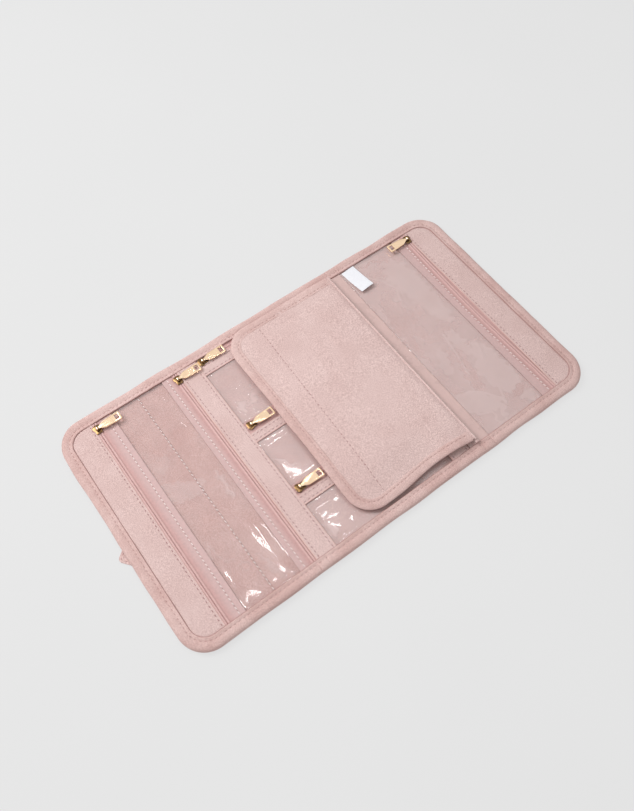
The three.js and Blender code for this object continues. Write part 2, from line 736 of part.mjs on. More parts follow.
// Strap outline, drawn from its sewn end along minus X, with rounded free corners
function strap() {
  const freeEnd = panelOutline(0, -STRAP_LENGTH, -STRAP_WIDTH / 2, STRAP_WIDTH / 2, STRAP_CORNER);
  const corner = new THREE.Vector2(-STRAP_LENGTH + strapCornerCut, STRAP_WIDTH / 2 - strapCornerCut);
  corner.rotateAround(new THREE.Vector2(0, 0), STRAP_TURN);
  const place = [leftEnd - STRAP_OVERHANG - corner.x, STRAP_CORNER_Y - corner.y, 0];
  const bottom = STRAP_RISE;
  const top = STRAP_RISE + STRAP_THICK;
  add('closure_strap', sheet(freeEnd, bottom, top).rotateZ(STRAP_TURN).translate(...place), suede());
  const sewn = block(SEAM_GAP, STRAP_SEWN_LENGTH, -STRAP_WIDTH / 2, STRAP_WIDTH / 2, bottom, top);
  add('strap_sewn_end', sewn.rotateZ(STRAP_TURN).translate(...place), suede());
}

leftPanel();
spine('left_spine', leftPanelCrease, leftCentreCrease);
centre();
flap();
spine('right_spine', rightCentreCrease, rightPanelCrease);
rightPanel();
strap();

// The origin lies under the middle of everything, strap corner included
const extent = new THREE.Box3().setFromObject(sleeve);
sleeve.position.x = -(extent.min.x + extent.max.x) / 2;

export default sleeve;
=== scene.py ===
"""Jewelry sleeve: a soft tri-fold case in blush suede, opened flat, with clear zipped pockets and a flap.

Lengths in the shape functions are millimetres. X runs along the opened case from its middle, Y from front
to back and Z up from the table. Piece.make turns them into the frame's metres.
"""

import json

import bpy
import numpy as np
from bpy.props import FloatProperty, FloatVectorProperty, PointerProperty
from mathutils import Matrix, Vector


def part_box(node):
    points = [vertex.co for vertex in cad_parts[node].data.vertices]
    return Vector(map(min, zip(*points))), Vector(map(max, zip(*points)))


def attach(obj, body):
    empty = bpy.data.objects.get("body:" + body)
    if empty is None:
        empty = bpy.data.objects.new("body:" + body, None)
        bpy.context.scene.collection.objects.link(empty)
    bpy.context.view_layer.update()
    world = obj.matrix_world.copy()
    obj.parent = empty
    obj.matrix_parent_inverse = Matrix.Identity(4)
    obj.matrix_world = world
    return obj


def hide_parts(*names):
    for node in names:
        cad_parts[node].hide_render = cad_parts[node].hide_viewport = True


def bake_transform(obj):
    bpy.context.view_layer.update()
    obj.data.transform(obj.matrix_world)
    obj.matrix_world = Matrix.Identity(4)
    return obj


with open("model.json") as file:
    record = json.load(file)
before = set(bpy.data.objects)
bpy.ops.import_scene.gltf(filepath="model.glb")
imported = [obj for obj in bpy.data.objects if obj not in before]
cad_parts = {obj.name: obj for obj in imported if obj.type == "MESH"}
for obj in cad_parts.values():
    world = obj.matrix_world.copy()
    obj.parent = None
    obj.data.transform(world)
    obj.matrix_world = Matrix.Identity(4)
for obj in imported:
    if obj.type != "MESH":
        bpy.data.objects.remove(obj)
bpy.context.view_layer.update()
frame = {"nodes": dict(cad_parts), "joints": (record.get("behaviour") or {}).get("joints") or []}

bl_info = {
    "name": "Jewelry Sleeve",
    "version": (1, 0, 0),
    "blender": (4, 5, 0),
    "location": "View3D > Sidebar > Sleeve",
    "description": "Makes a suede jewelry sleeve with clear zipped pockets over its packed frame",
    "category": "Add Mesh",
}

MM = 0.001


def corner(node, which, axis):
    """One coordinate of a node's lowest (0) or highest (1) corner, in millimetres."""
    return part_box(node)[which][axis] / MM


CASE_MIDDLE = (corner("left_binding", 0, 0) + corner("right_binding", 1, 0)) / 2
CASE_END = corner("right_binding", 1, 0) - CASE_MIDDLE
HALF_WIDTH = corner("right_binding", 1, 1)


def joint(name, axis):
    """One coordinate of a joint's place, in millimetres."""
    return next(j for j in frame["joints"] if j["name"] == name)["pos_m"][axis] / MM


LEFT_PANEL_CREASE = joint("left_panel_fold", 0) - CASE_MIDDLE
LEFT_CENTRE_CREASE = joint("left_spine_fold", 0) - CASE_MIDDLE
RIGHT_CENTRE_CREASE = joint("right_spine_fold", 0) - CASE_MIDDLE
RIGHT_PANEL_CREASE = joint("right_panel_fold", 0) - CASE_MIDDLE

# Heights of the layers
COVER_LOW = 1.2
COVER_HIGH = 2.1
LINING_LOW = 2.2
LINING_HIGH = 3.75
FILM_REST = 4.4
FILM_TOP = 5.3
TAPE_LOW = 5.0
TAPE_HIGH = 5.5
SUEDE_LOW = 5.6
SUEDE_HIGH = 6.2

# Outline: radii of the corners, and how far the binding reaches inwards
CORNER_RADIUS = 26
FLAP_RADIUS = 24
BINDING_INNER = 11

# Step along a line, angles past which a fold is shaded sharp, and the distance to an edge that isn't there
STEP = 0.75
CLOTH_FOLD = 0.7
METAL_FOLD = 0.6
FAR = 99

# How far the cover and the lining stay inside the case's outline
COVER_INSET = 1.3
LINING_INSET = 1.4

# Where the cloth bends: half the length of a bend on each side of its crease, and the middle of each spine
BEND_HALF = 4.7
LEFT_SPINE_MIDDLE = (LEFT_PANEL_CREASE + LEFT_CENTRE_CREASE) / 2
RIGHT_SPINE_MIDDLE = (RIGHT_CENTRE_CREASE + RIGHT_PANEL_CREASE) / 2


# Near and far end of the length of cloth that crosses each crease
REACH = {
    "left_panel_bend": (LEFT_PANEL_CREASE - BEND_HALF, LEFT_SPINE_MIDDLE),
    "left_centre_bend": (LEFT_SPINE_MIDDLE, LEFT_CENTRE_CREASE + BEND_HALF),
    "right_centre_bend": (RIGHT_CENTRE_CREASE - BEND_HALF, RIGHT_SPINE_MIDDLE),
    "right_panel_bend": (RIGHT_SPINE_MIDDLE, RIGHT_PANEL_CREASE + BEND_HALF),
}

# Along the case: the slits of the zips, the strips beside them and on the spines, and the left pocket's seam
LEFT_OUTER_SLIT = -177.4
LEFT_INNER_SLIT = -93.7
RIGHT_SLIT = 176.9
POCKET_SLITS = {"a": 104.4, "b": 23.6, "c": -49.9}
POCKET_STRIPS = {"a": (89.8, 102.4), "b": (6.7, 17.0), "c": (-65.2, -54.9)}
FOLD_STRIP = (55.2, 74.5)
LEFT_SPINE_STRIP = (-91.3, -70.9)
RIGHT_SPINE_STRIP = (85.95, 96.6)
LEFT_SEAM = -133.0
INNER_HALF = HALF_WIDTH - BINDING_INNER

# How far a row of stitches stays inside the ends of its line
ROW_INSET = 0.5

# Strap: where its sewn root lies, which way it points, how far its stitches lie inside its edge, its corners,
# the height of its top, and from where to where the sewn end reaches
STRAP_ROOT = (-164.06, 20.48)
STRAP_TURN = 0.66
STRAP_LENGTH = 66
STRAP_WIDTH = 22
STRAP_ROW = 2.2
STRAP_RADIUS = 4.0
STRAP_TOP = 1.08
STRAP_SEWN = (0.3, 16.0)


def linear(red, green, blue):
    """Screen colour of 0 to 255 as linear light: the standard curve, a power of 2.4 above its toe."""
    c = np.array([red, green, blue]) / 255
    return tuple(np.where(c <= 0.04045, c / 12.92, ((c + 0.055) / 1.055) ** 2.4))


# Sizes, colours and light that a user would change


def number(name, description, default, top, **more):
    """A number property from 0 to its top value."""
    return FloatProperty(name=name, description=description, default=default, min=0, max=top, **more)


def length(name, description, default):
    """A length property in metres."""
    return number(name, description, default, 0.05, unit="LENGTH", subtype="DISTANCE", precision=5)


def colour(name, description, default):
    """A colour property in linear light."""
    return FloatVectorProperty(
        name=name, description=description, default=linear(*default), size=3, min=0, max=1, subtype="COLOR"
    )


class SleeveSizes(bpy.types.PropertyGroup):
    """Sizes of the soft forms and the sewing."""

    stitch_pitch: length("Stitch pitch", "Distance from one stitch to the next", 0.0043)
    stitch_length: length("Stitch length", "Length of one stitch", 0.0024)
    stitch_width: length("Stitch width", "Thickness of the thread", 0.0006)
    pucker: length("Pucker", "Depth of the cloth's dip at each stitch", 0.00008)
    binding_wave: length("Binding wave", "How far the binding wanders from straight", 0.00028)
    film_swell: length("Film swell", "How far the clear film stands up from the lining", 0.0005)
    film_thickness: length("Film thickness", "Thickness of the clear film", 0.0002)
    flap_crown: length("Flap crown", "How far the flap's padding rises in the middle", 0.0009)
    flap_lift: length("Flap lift", "How far the flap's front edge lifts", 0.0014)
    metal_bevel: length("Metal bevel", "Rounding of the slider and pull edges", 0.00016)


class SleeveColours(bpy.types.PropertyGroup):
    """Colours of the finishes."""

    suede: colour("Suede", "Suede of the flap, strips and cover", (234, 209, 204))
    binding: colour("Binding", "Folded suede tape round the edges", (229, 200, 194))
    lining: colour("Lining", "Cloth inside the pockets", (219, 184, 177))
    film: colour("Film", "Haze of the clear pocket film", (240, 220, 217))
    tape: colour("Zip tape", "Woven tape of the zips, away from the slit", (213, 182, 179))
    tape_rose: colour("Tape beside the slit", "Woven tape of the zips, beside the slit", (206, 165, 161))
    tape_lip: colour("Zip lip", "Folded edge beside each slit", (209, 173, 169))
    fold: colour("Folded edge", "Turned edge of the suede strips", (226, 191, 184))
    gold: colour("Gold", "Plates of the pulls", (240, 211, 178))
    # The slider gold is darker than the pulls' gold, partly as a painted reflection of the dark studio that the
    # polished bodies mirror.
    slider_gold: colour("Slider gold", "Slider bodies", (122, 96, 66))
    thread: colour("Thread", "Sewing thread on the suede", (160, 110, 110))
    # This colour also paints shade: the line along the binding's inner rim and the needle holes between pale
    # stitches.
    edge_thread: colour("Edge thread", "Sewing thread on the binding", (182, 142, 137))
    pale_thread: colour("Pale thread", "Sewing thread through the film", (246, 234, 231))
    label: colour("Label", "Woven label", (240, 240, 245))
    floor: colour("Floor", "Floor under the case", (230, 230, 230))


class SleeveLight(bpy.types.PropertyGroup):
    """Studio light."""

    sky: number("Sky", "Even light from all round", 0.55, 2)
    key: number("Key", "Softbox behind the case", 12.5, 100, unit="POWER")
    glint: number("Glint", "Brightness of the strip lamps that glint in the film", 34, 200)
    backdrop: number("Backdrop", "Share of the floor that is evenly lit", 0.85, 1)


def sizes():
    """The scene's sizes."""
    return bpy.context.scene.sleeve_sizes


# Surfaces: points in millimetres, and faces as arrays of equal-sided polygons


def signed_volume(points, faces):
    """Sum over each polygon's fan of triangles of a corner dotted with the cross product of the other two."""
    total = 0.0
    for block in faces:
        a = points[block[:, 0]]
        for k in range(1, block.shape[1] - 1):
            total += np.einsum("ij,ij->", a, np.cross(points[block[:, k]], points[block[:, k + 1]]))
    return total / 6


def outward(points, faces):
    """The same closed surface with its faces turned round if its signed volume is negative."""
    if signed_volume(points, faces) < 0:
        return points, [block[:, ::-1] for block in faces]
    return points, faces


def ring_quads(rows, columns):
    """Quads between each ring of points and the next, where every ring closes on itself."""
    start, place = np.meshgrid(np.arange(rows - 1) * columns, np.arange(columns), indexing="ij")
    near, far = start + place, start + (place + 1) % columns
    return np.stack([near, far, far + columns, near + columns], axis=2).reshape(-1, 4)


def tube(line, inward, across, height):
    """Closed section carried along a line: point i, j is the line's point i plus its inward direction times
    across i, j, at height i, j. The section closes on itself, and a flat face closes each end."""
    rows, columns = across.shape
    flat = line[:, None, :] + inward[:, None, :] * across[..., None]
    points = np.concatenate([flat, height[..., None]], axis=2).reshape(-1, 3)
    ring = np.arange(columns)[None, :]
    return outward(points, [ring_quads(rows, columns), ring[:, ::-1], (rows - 1) * columns + ring])


def rim_mask(shape):
    """True round the rim of a grid and false inside it."""
    rim = np.ones(shape, bool)
    rim[1:-1, 1:-1] = False
    return rim


def slab(x, y, low, high):
    """Closed sheet over a grid of places: an upper surface and a lower one that share the grid's rim, whose
    height is halfway between them."""
    rim = rim_mask(x.shape)
    upper = np.stack([x, y, np.where(rim, (low + high) / 2, high)], axis=2).reshape(-1, 3)
    lower = np.stack([x, y, low], axis=2)[~rim]
    index = np.arange(x.size).reshape(x.shape)
    below = index.copy()
    below[~rim] = x.size + np.arange(len(lower))

    def quads(grid):
        return np.stack([grid[:-1, :-1], grid[:-1, 1:], grid[1:, 1:], grid[1:, :-1]], axis=2).reshape(-1, 4)

    return outward(np.concatenate([upper, lower]), [quads(index), quads(below)[:, ::-1]])


def drawn_in(x, y, low, middle, high, share):
    """Closed sheet between two heights, whose faces draw in to the middle one as the share falls to 0."""
    return slab(x, y, middle - (middle - low) * share, middle + (high - middle) * share)


def spaced(start, end, step, rim=0.3, fine=5):
    """Places from start to end, an even step apart, with a few near each end that crowd as 1 - cosine of a
    quarter turn, so that a rounded rim has points to turn on."""
    crowd = rim * (1 - np.cos(np.linspace(0, np.pi / 2, fine)))
    reach = abs(end - start)
    count = max(2, int(np.ceil((reach - 2 * rim) / step)))
    middle = np.linspace(rim, reach - rim, count + 1)[1:-1]
    places = np.concatenate([crowd, middle, reach - crowd[::-1]])
    return start + np.sign(end - start) * places


def rounding(distance, rim):
    """Half thickness share at a distance from an edge: the height of a quarter ellipse that is full at rim."""
    inside = np.clip(distance / rim, 0, 1)
    return np.sqrt(np.clip(1 - (1 - inside) ** 2, 0, 1))


def smooth(value, low, high):
    """0 below low, 1 above high, and 3t^2 - 2t^3 between them."""
    t = np.clip((value - low) / (high - low), 0, 1)
    return t * t * (3 - 2 * t)


def bell(value, middle, width):
    """Bell curve: e to the minus square of the distance from its middle over its width."""
    return np.exp(-(((value - middle) / width) ** 2))


def ripple(x, y, wavelength, seed, waves=9):
    """Sum of sine waves in seeded directions with lengths near the given one, divided by the root of half
    their number, so it wanders between about -2 and 2."""
    chance = np.random.default_rng(seed)
    angle = chance.uniform(0, np.pi, waves)
    number = 2 * np.pi / (wavelength * chance.uniform(0.6, 1.6, waves))
    phase = chance.uniform(0, 2 * np.pi, waves)
    total = np.zeros(np.broadcast(x, y).shape)
    for a, k, p in zip(angle, number, phase):
        total = total + np.sin(k * (x * np.cos(a) + y * np.sin(a)) + p)
    return total / np.sqrt(waves / 2)


def distance_to(x, y, line):
    """Shortest distance from each place to a line of points: the least over its segments of the distance to
    the nearest place on that segment."""
    nearest = np.full(np.broadcast(x, y).shape, 1e9)
    for (x0, y0), (x1, y1) in zip(line[:-1], line[1:]):
        dx, dy = x1 - x0, y1 - y0
        t = np.clip(((x - x0) * dx + (y - y0) * dy) / (dx * dx + dy * dy), 0, 1)
        nearest = np.minimum(nearest, np.hypot(x - x0 - t * dx, y - y0 - t * dy))
    return nearest


def within(x, y, corners):
    """Signed distance into a closed outline: positive inside, by the even-odd rule, and negative outside."""
    inside = np.zeros(np.broadcast(x, y).shape, bool)
    following = corners[1:] + corners[:1]
    for (x0, y0), (x1, y1) in zip(corners, following):
        if y0 != y1:
            inside ^= ((y0 > y) != (y1 > y)) & (x < x0 + (y - y0) * (x1 - x0) / (y1 - y0))
    return np.where(inside, 1, -1) * distance_to(x, y, corners + corners[:1])


def eased(corners, times=2):
    """A closed outline with each corner cut twice at a quarter and three quarters of its sides."""
    for _ in range(times):
        p = np.array(corners)
        q = np.roll(p, -1, axis=0)
        corners = np.stack([0.75 * p + 0.25 * q, 0.25 * p + 0.75 * q], axis=1).reshape(-1, 2)
        corners = [tuple(c) for c in corners]
    return corners


def creases(x, y, lines):
    """Sum over the lines of each one's height times a bell of the distance from it over its width."""
    total = np.zeros(np.broadcast(x, y).shape)
    for height, width, line in lines:
        total = total + height * bell(distance_to(x, y, line), 0, width)
    return total


def straight(x0, y0, x1, y1, step=STEP):
    """Evenly spaced places from one point to another."""
    count = max(1, int(np.ceil(np.hypot(x1 - x0, y1 - y0) / step)))
    t = np.linspace(0, 1, count + 1)[:, None]
    return np.array([[x0, y0]]) * (1 - t) + np.array([[x1, y1]]) * t


def lane(heading, at, start, end, side=1, step=STEP):
    """Straight line along x or y at one place across it, and the directions that point to the given side."""
    if heading == "y":
        line, inward = straight(at, start, at, end, step), (side, 0.0)
    else:
        line, inward = straight(start, at, end, at, step), (0.0, side)
    return line, np.tile(inward, (len(line), 1))


def round_path(fold_x, outer_x, front, back, radius):
    """Line round three sides of a panel: along its front edge from the fold, a quarter circle, along its
    outer edge, a quarter circle, and along its back edge to the fold. Gives the places and the unit
    directions that point inwards there."""
    side = np.sign(outer_x - fold_x)
    turn = outer_x - side * radius
    count = max(4, int(np.ceil(radius * np.pi / 2 / STEP)))
    angle = np.linspace(0, np.pi / 2, count + 1)[1:]
    sine, cosine = np.sin(angle), np.cos(angle)
    first, first_in = lane("x", front, fold_x, turn)
    end, end_in = lane("y", outer_x, front + radius, back - radius, -side)
    last, last_in = lane("x", back, turn, fold_x, -1)
    arc_1 = np.stack([turn + side * radius * sine, front + radius - radius * cosine], axis=1)
    arc_2 = np.stack([turn + side * radius * cosine, back - radius + radius * sine], axis=1)
    arc_1_in = np.stack([-side * sine, cosine], axis=1)
    arc_2_in = np.stack([-side * cosine, -sine], axis=1)
    line = np.concatenate([first, arc_1, end[1:], arc_2, last[1:]])
    return line, np.concatenate([first_in, arc_1_in, end_in[1:], arc_2_in, last_in[1:]])


def places(line, inward, across):
    """X and y of each point of a section that is carried along a line."""
    return line[:, :1] + inward[:, :1] * across, line[:, 1:] + inward[:, 1:] * across


def carried(line, section):
    """A section's places across and its heights, repeated for each point of a line."""
    return np.tile(section[:, 0], (len(line), 1)), np.tile(section[:, 1], (len(line), 1))


def rounded_reach(past, half, radius):
    """Half width of a sheet with a rounded end, at a distance past the start of the rounding: the height of a
    quarter circle less than full."""
    past = np.clip(past, 0, radius)
    return half - radius + np.sqrt(np.clip(radius**2 - past**2, 0, None))


def fanned(xs, reach, half, step, rim):
    """Grid whose row at each x runs from minus the reach to the reach there, and the distance of each place
    from the ends of its row."""
    ys = spaced(-1, 1, step / half, rim / half)
    x, y = np.tile(xs[:, None], (1, len(ys))), reach[:, None] * ys[None, :]
    return x, y, reach[:, None] - np.abs(y)


def travelled(line):
    """Distance along a line of points from its start."""
    return np.concatenate([[0], np.cumsum(np.hypot(*np.diff(line, axis=0).T))])


def dips(line, less=0):
    """Wave along a line that makes one turn per stitch: the cosine of a whole number of turns."""
    along = travelled(line)[:, None]
    count = max(1, int((along[-1, 0] - less) / (sizes().stitch_pitch / MM)))
    return np.cos(2 * np.pi * along * count / along[-1, 0])


def capsule():
    """Thread stitch of unit half length, width and height: four rings of six points and a point at each end."""
    along = np.array([-0.82, -0.35, 0.35, 0.82])
    radius = np.array([0.62, 1.0, 1.0, 0.62])
    turn = np.arange(6) * np.pi / 3
    sides = [(radius[:, None] * wave(turn)).ravel() for wave in (np.cos, np.sin)]
    points = np.concatenate([np.stack([np.repeat(along, 6), *sides], axis=1), [[-1, 0, 0], [1, 0, 0]]])
    j = np.arange(6)
    following = (j + 1) % 6
    first = np.stack([following, j, np.full(6, 24)], axis=1)
    last = np.stack([18 + j, 18 + following, np.full(6, 25)], axis=1)
    return outward(points, [ring_quads(4, 6), np.concatenate([first, last])])


def stitches(line, height, seed=1, lean=0.1, long=1.0, thick=1.0, shift=0.0):
    """Row of thread stitches along a line: one capsule per pitch, turned to the line's direction with a small
    seeded lean, at the height that the cloth has there. Long and thick scale it, and shift moves the row along
    by a share of the pitch."""
    size = sizes()
    reach, wide = long * size.stitch_length / MM, thick * size.stitch_width / MM
    along = travelled(line)
    pitches = max(1, int(along[-1] / (size.stitch_pitch / MM)))
    count = pitches - (shift > 0)
    place = (np.arange(count) + 0.5 + shift) * along[-1] / pitches

    def at(where):
        return np.interp(where, along, line[:, 0]), np.interp(where, along, line[:, 1])

    (x, y), ahead, behind = at(place), at(place + 0.5), at(place - 0.5)
    chance = np.random.default_rng(seed)
    turn = np.arctan2(ahead[1] - behind[1], ahead[0] - behind[0]) + lean * chance.uniform(0.4, 1.6, count)
    template, blocks = capsule()
    scaled = template * np.array([reach / 2, wide / 2, wide / 2 * 0.8])
    cosine, sine = np.cos(turn)[:, None], np.sin(turn)[:, None]
    px = x[:, None] + scaled[:, 0] * cosine - scaled[:, 1] * sine
    py = y[:, None] + scaled[:, 0] * sine + scaled[:, 1] * cosine
    pz = height(x, y)[:, None] + scaled[:, 2]
    points = np.stack([px, py, pz], axis=2).reshape(-1, 3)
    offset = (np.arange(count) * len(template))[:, None, None]
    faces = [(block[None] + offset).reshape(-1, block.shape[1]) for block in blocks]
    return points, faces


def linked(name, data):
    """A new object in the scene."""
    made = bpy.data.objects.new(name, data)
    bpy.context.scene.collection.objects.link(made)
    return made


class Piece:
    """Closed surfaces that become one object."""

    def __init__(self, name, *finishes):
        self.name, self.finishes = name, finishes
        self.points, self.faces, self.index, self.count, self.haze = [], [], [], 0, []

    def add(self, surface, finish=0, columns=None, haze=None):
        """Adds a surface in one finish, or with a finish for each column of its first block of faces."""
        points, faces = surface
        for n, block in enumerate(faces):
            self.faces += (block + self.count).tolist()
            if columns is not None and n == 0:
                self.index.append(np.tile(columns, len(block) // len(columns)))
            else:
                self.index.append(np.full(len(block), finish))
        self.points.append(points)
        self.haze.append(np.zeros(len(points)) if haze is None else haze)
        self.count += len(points)
        return self

    def warp(self, moved):
        """Moves every point by a function."""
        self.points = [moved(points) for points in self.points]
        return self

    def make(self, slot, replaces=()):
        """The object: places in metres in the frame, smooth faces with sharp folds, finishes and stand-ins."""
        points = (np.concatenate(self.points) + [CASE_MIDDLE, 0, 0]) * MM
        mesh = bpy.data.meshes.new(self.name)
        mesh.from_pydata(points.tolist(), [], self.faces)
        for name in self.finishes:
            mesh.materials.append(finish(name))
        mesh.polygons.foreach_set("material_index", np.concatenate(self.index).astype(np.int32))
        mesh.polygons.foreach_set("use_smooth", np.ones(len(mesh.polygons), bool))
        haze = np.concatenate(self.haze)
        if haze.any():
            mesh.attributes.new("haze", "FLOAT", "POINT").data.foreach_set("value", haze.astype(np.float32))
        mesh.set_sharp_from_angle(angle=CLOTH_FOLD)
        mesh.update()
        made = linked(self.name, mesh)
        if replaces:
            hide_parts(*replaces)
        return made

    def ride(self, body, slot, replaces=()):
        """The object, carried by one body."""
        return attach(self.make(slot, replaces), body)

    def bend(self, where, slot, replaces=()):
        """The object, bent smoothly between the two bodies of a crease."""
        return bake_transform(self.make(slot, replaces))


# Finishes


def node(tree, kind, inputs=(), **settings):
    """A shader node with its settings, whose inputs are linked to sockets or given values."""
    made = tree.nodes.new(kind)
    for key, value in settings.items():
        setattr(made, key, value)
    for key, value in dict(inputs).items():
        if isinstance(value, bpy.types.NodeSocket):
            tree.links.new(value, made.inputs[key])
        else:
            made.inputs[key].default_value = value
    return made


def noise(tree, at, scale, detail=4, roughness=0.55):
    """Soft seeded noise with about scale features to the metre."""
    inputs = {"Vector": at, "Scale": scale, "Detail": detail, "Roughness": roughness}
    return node(tree, "ShaderNodeTexNoise", inputs).outputs[0]


def ranged(tree, value, low, high, to_low=0.0, to_high=1.0):
    """The value carried smoothly from low..high to to_low..to_high."""
    inputs = {"Value": value, "From Min": low, "From Max": high, "To Min": to_low, "To Max": to_high}
    return node(tree, "ShaderNodeMapRange", inputs, interpolation_type="SMOOTHSTEP").outputs[0]


def mixed(tree, factor, first, second):
    """Colour between two colours."""
    return node(tree, "ShaderNodeMix", {0: factor, 6: first, 7: second}, data_type="RGBA").outputs[2]


def multiplied(tree, first, second):
    """Product of two colours."""
    inputs = {0: 1.0, 6: first, 7: second}
    return node(tree, "ShaderNodeMix", inputs, data_type="RGBA", blend_type="MULTIPLY").outputs[2]


def added(tree, first, second, share):
    """First plus second times a share."""
    return node(tree, "ShaderNodeMath", {0: second, 1: share, 2: first}, operation="MULTIPLY_ADD").outputs[0]


def toned(rgb, by):
    """A colour times a number or three, with full opacity."""
    return (*np.clip(np.array(rgb) * by, 0, 1), 1.0)


def grey(by):
    """White times a number or three."""
    return toned((1, 1, 1), by)


def started(name, inputs):
    """A new finish whose shader's inputs have the given values, its tree, its shader and object coordinates."""
    made = bpy.data.materials.new(name)
    made.use_nodes = True
    tree = made.node_tree
    shader = tree.nodes["Principled BSDF"]
    for key, value in inputs.items():
        shader.inputs[key].default_value = value
    return made, tree, shader, node(tree, "ShaderNodeTexCoord").outputs["Object"]


def weave(tree, at, scale, distortion, direction):
    """Fine bands that cross the given direction."""
    inputs = {"Vector": at, "Scale": scale, "Distortion": distortion}
    return node(tree, "ShaderNodeTexWave", inputs, bands_direction=direction).outputs["Fac"]


def connect(tree, shader, colour_from, roughness_from=None, height=None, distance=0.0002, strength=0.5):
    """Links colour, roughness and a bump to the shader."""
    tree.links.new(colour_from, shader.inputs["Base Color"])
    if roughness_from is not None:
        tree.links.new(roughness_from, shader.inputs["Roughness"])
    if height is not None:
        bump = node(tree, "ShaderNodeBump", {"Height": height, "Distance": distance, "Strength": strength})
        tree.links.new(bump.outputs[0], shader.inputs["Normal"])


def nap(name, rgb, blotch, grain, sheen):
    """Suede: a colour that drifts in wide clouds and in patches where the nap lies another way, speckled with
    short fibres, with a soft sheen and a felted bump."""
    tint = toned(linear(255, 240, 236), 1)
    soft = {"Sheen Weight": sheen, "Sheen Roughness": 0.45, "Sheen Tint": tint, "Specular IOR Level": 0.2}
    made, tree, shader, at = started(name, soft)
    cloud = ranged(tree, noise(tree, at, 30, 3, 0.5), 0.34, 0.66)
    patch = ranged(tree, noise(tree, at, 130, 4, 0.6), 0.36, 0.66)
    fibre = noise(tree, at, 1450, 2, 0.6)
    speck = ranged(tree, fibre, 0.32, 0.68)
    base = mixed(tree, cloud, toned(rgb, 1 - blotch * np.array([0.5, 0.85, 0.9])), toned(rgb, 1.015))
    shade = mixed(tree, patch, grey(1.0), grey(1 - blotch * np.array([0.3, 0.4, 0.42])))
    grains = mixed(tree, speck, grey(1 - grain * np.array([0.9, 1.1, 1.1])), grey(1.0))
    colour_from = multiplied(tree, multiplied(tree, base, shade), grains)
    height = added(tree, fibre, noise(tree, at, 420, 4, 0.6), 0.8)
    connect(tree, shader, colour_from, ranged(tree, patch, 0, 1, 0.86, 0.97), height)
    return made


GLOSS = {"Specular IOR Level": 0.6, "Coat Weight": 1.0, "Coat Roughness": 0.03, "Coat IOR": 1.6}


def film(name, rgb):
    """Clear film: a thin haze that lets the lining through, paler in the patches where the film stands off the
    lining, under a smooth gloss."""
    made, tree, shader, at = started(name, GLOSS)
    haze = node(tree, "ShaderNodeAttribute", attribute_name="haze").outputs["Fac"]
    drift = noise(tree, at, 45, 3, 0.45)
    colour_from = mixed(tree, drift, toned(rgb, (1.0, 0.96, 0.95)), toned(rgb, 1.03))
    # The haze attribute holds the film's veil together with its painted sheen, painted highlights and painted
    # shade.
    veil = ranged(tree, added(tree, haze, drift, 0.15), 0.05, 1.15, 0.12, 0.42)
    tree.links.new(veil, shader.inputs["Alpha"])
    connect(tree, shader, colour_from, ranged(tree, drift, 0.3, 0.7, 0.1, 0.18))
    return made


def spine_film(name, rgb):
    """Film drawn tight over the right spine's lining: the lining's colour under the film's gloss."""
    made, tree, shader, at = started(name, GLOSS)
    drift = ranged(tree, noise(tree, at, 60, 4, 0.5), 0.35, 0.66)
    grains = mixed(tree, noise(tree, at, 620, 2, 0.6), grey(0.9), grey(1.0))
    colour_from = multiplied(tree, mixed(tree, drift, toned(rgb, 0.86), toned(rgb, 0.93)), grains)
    connect(tree, shader, colour_from, ranged(tree, drift, 0, 1, 0.25, 0.4))
    return made


def zip_tape(name, rgb, direction):
    """Zip tape: rose beside the slit and paler away from it, with ribs across the tape, a fine twill over
    them, and threads that vary in tone."""
    made, tree, shader, at = started(name, {"Sheen Weight": 0.08, "Specular IOR Level": 0.3})
    away = node(tree, "ShaderNodeAttribute", attribute_name="haze").outputs["Fac"]
    rib = weave(tree, at, 330, 0.4, direction)
    warp = weave(tree, at, 420, 1.0, "Y" if direction == "X" else "X")
    tone = ranged(tree, noise(tree, at, 500, 3, 0.6), 0.3, 0.7)
    base = mixed(tree, away, toned(bpy.context.scene.sleeve_colours.tape_rose, 1), toned(rgb, 1))
    base = multiplied(tree, base, mixed(tree, tone, grey(0.9), grey(1.0)))
    cloth = added(tree, rib, warp, 0.6)
    shade = mixed(tree, ranged(tree, cloth, 0.2, 1.4), grey((0.95, 0.92, 0.92)), grey(1))
    colour_from = multiplied(tree, base, shade)
    connect(tree, shader, colour_from, ranged(tree, tone, 0, 1, 0.6, 0.75), cloth, 0.00012, 0.4)
    return made


def zip_lip(name, rgb):
    """Folded lip of a zip tape: tight ribbed satin, a little lighter than the tape."""
    made, tree, shader, at = started(name, {"Specular IOR Level": 0.4})
    tone = noise(tree, at, 500, 4, 0.6)
    base = mixed(tree, ranged(tree, tone, 0.3, 0.7), toned(rgb, (0.93, 0.88, 0.88)), toned(rgb, 1.05))
    connect(tree, shader, base, ranged(tree, tone, 0.3, 0.7, 0.45, 0.6), tone, 0.0001)
    return made


def gold_plate(name, rgb, painted_recess_shade):
    """Gold plating: a satin polish with fine rubbed scratches and faint clouding, tarnished in its recesses."""
    made, tree, shader, at = started(name, {"Metallic": 1.0})
    scratch = noise(tree, at, 2600, 2, 0.5)
    cloud = ranged(tree, noise(tree, at, 240, 4, 0.6), 0.3, 0.7)
    base = mixed(tree, cloud, toned(rgb, (0.99, 0.97, 0.95)), toned(rgb, 1.0))
    if painted_recess_shade:
        # Painted shade: ambient occlusion turns the base colour dark brown in the recesses.
        open_sky = node(tree, "ShaderNodeAmbientOcclusion", {"Distance": 0.0025}).outputs["AO"]
        base = mixed(tree, ranged(tree, open_sky, 0.45, 0.98), toned(linear(74, 54, 34), 1), base)
    connect(tree, shader, base, ranged(tree, cloud, 0, 1, 0.14, 0.22), scratch, 0.00002, 0.2)
    return made


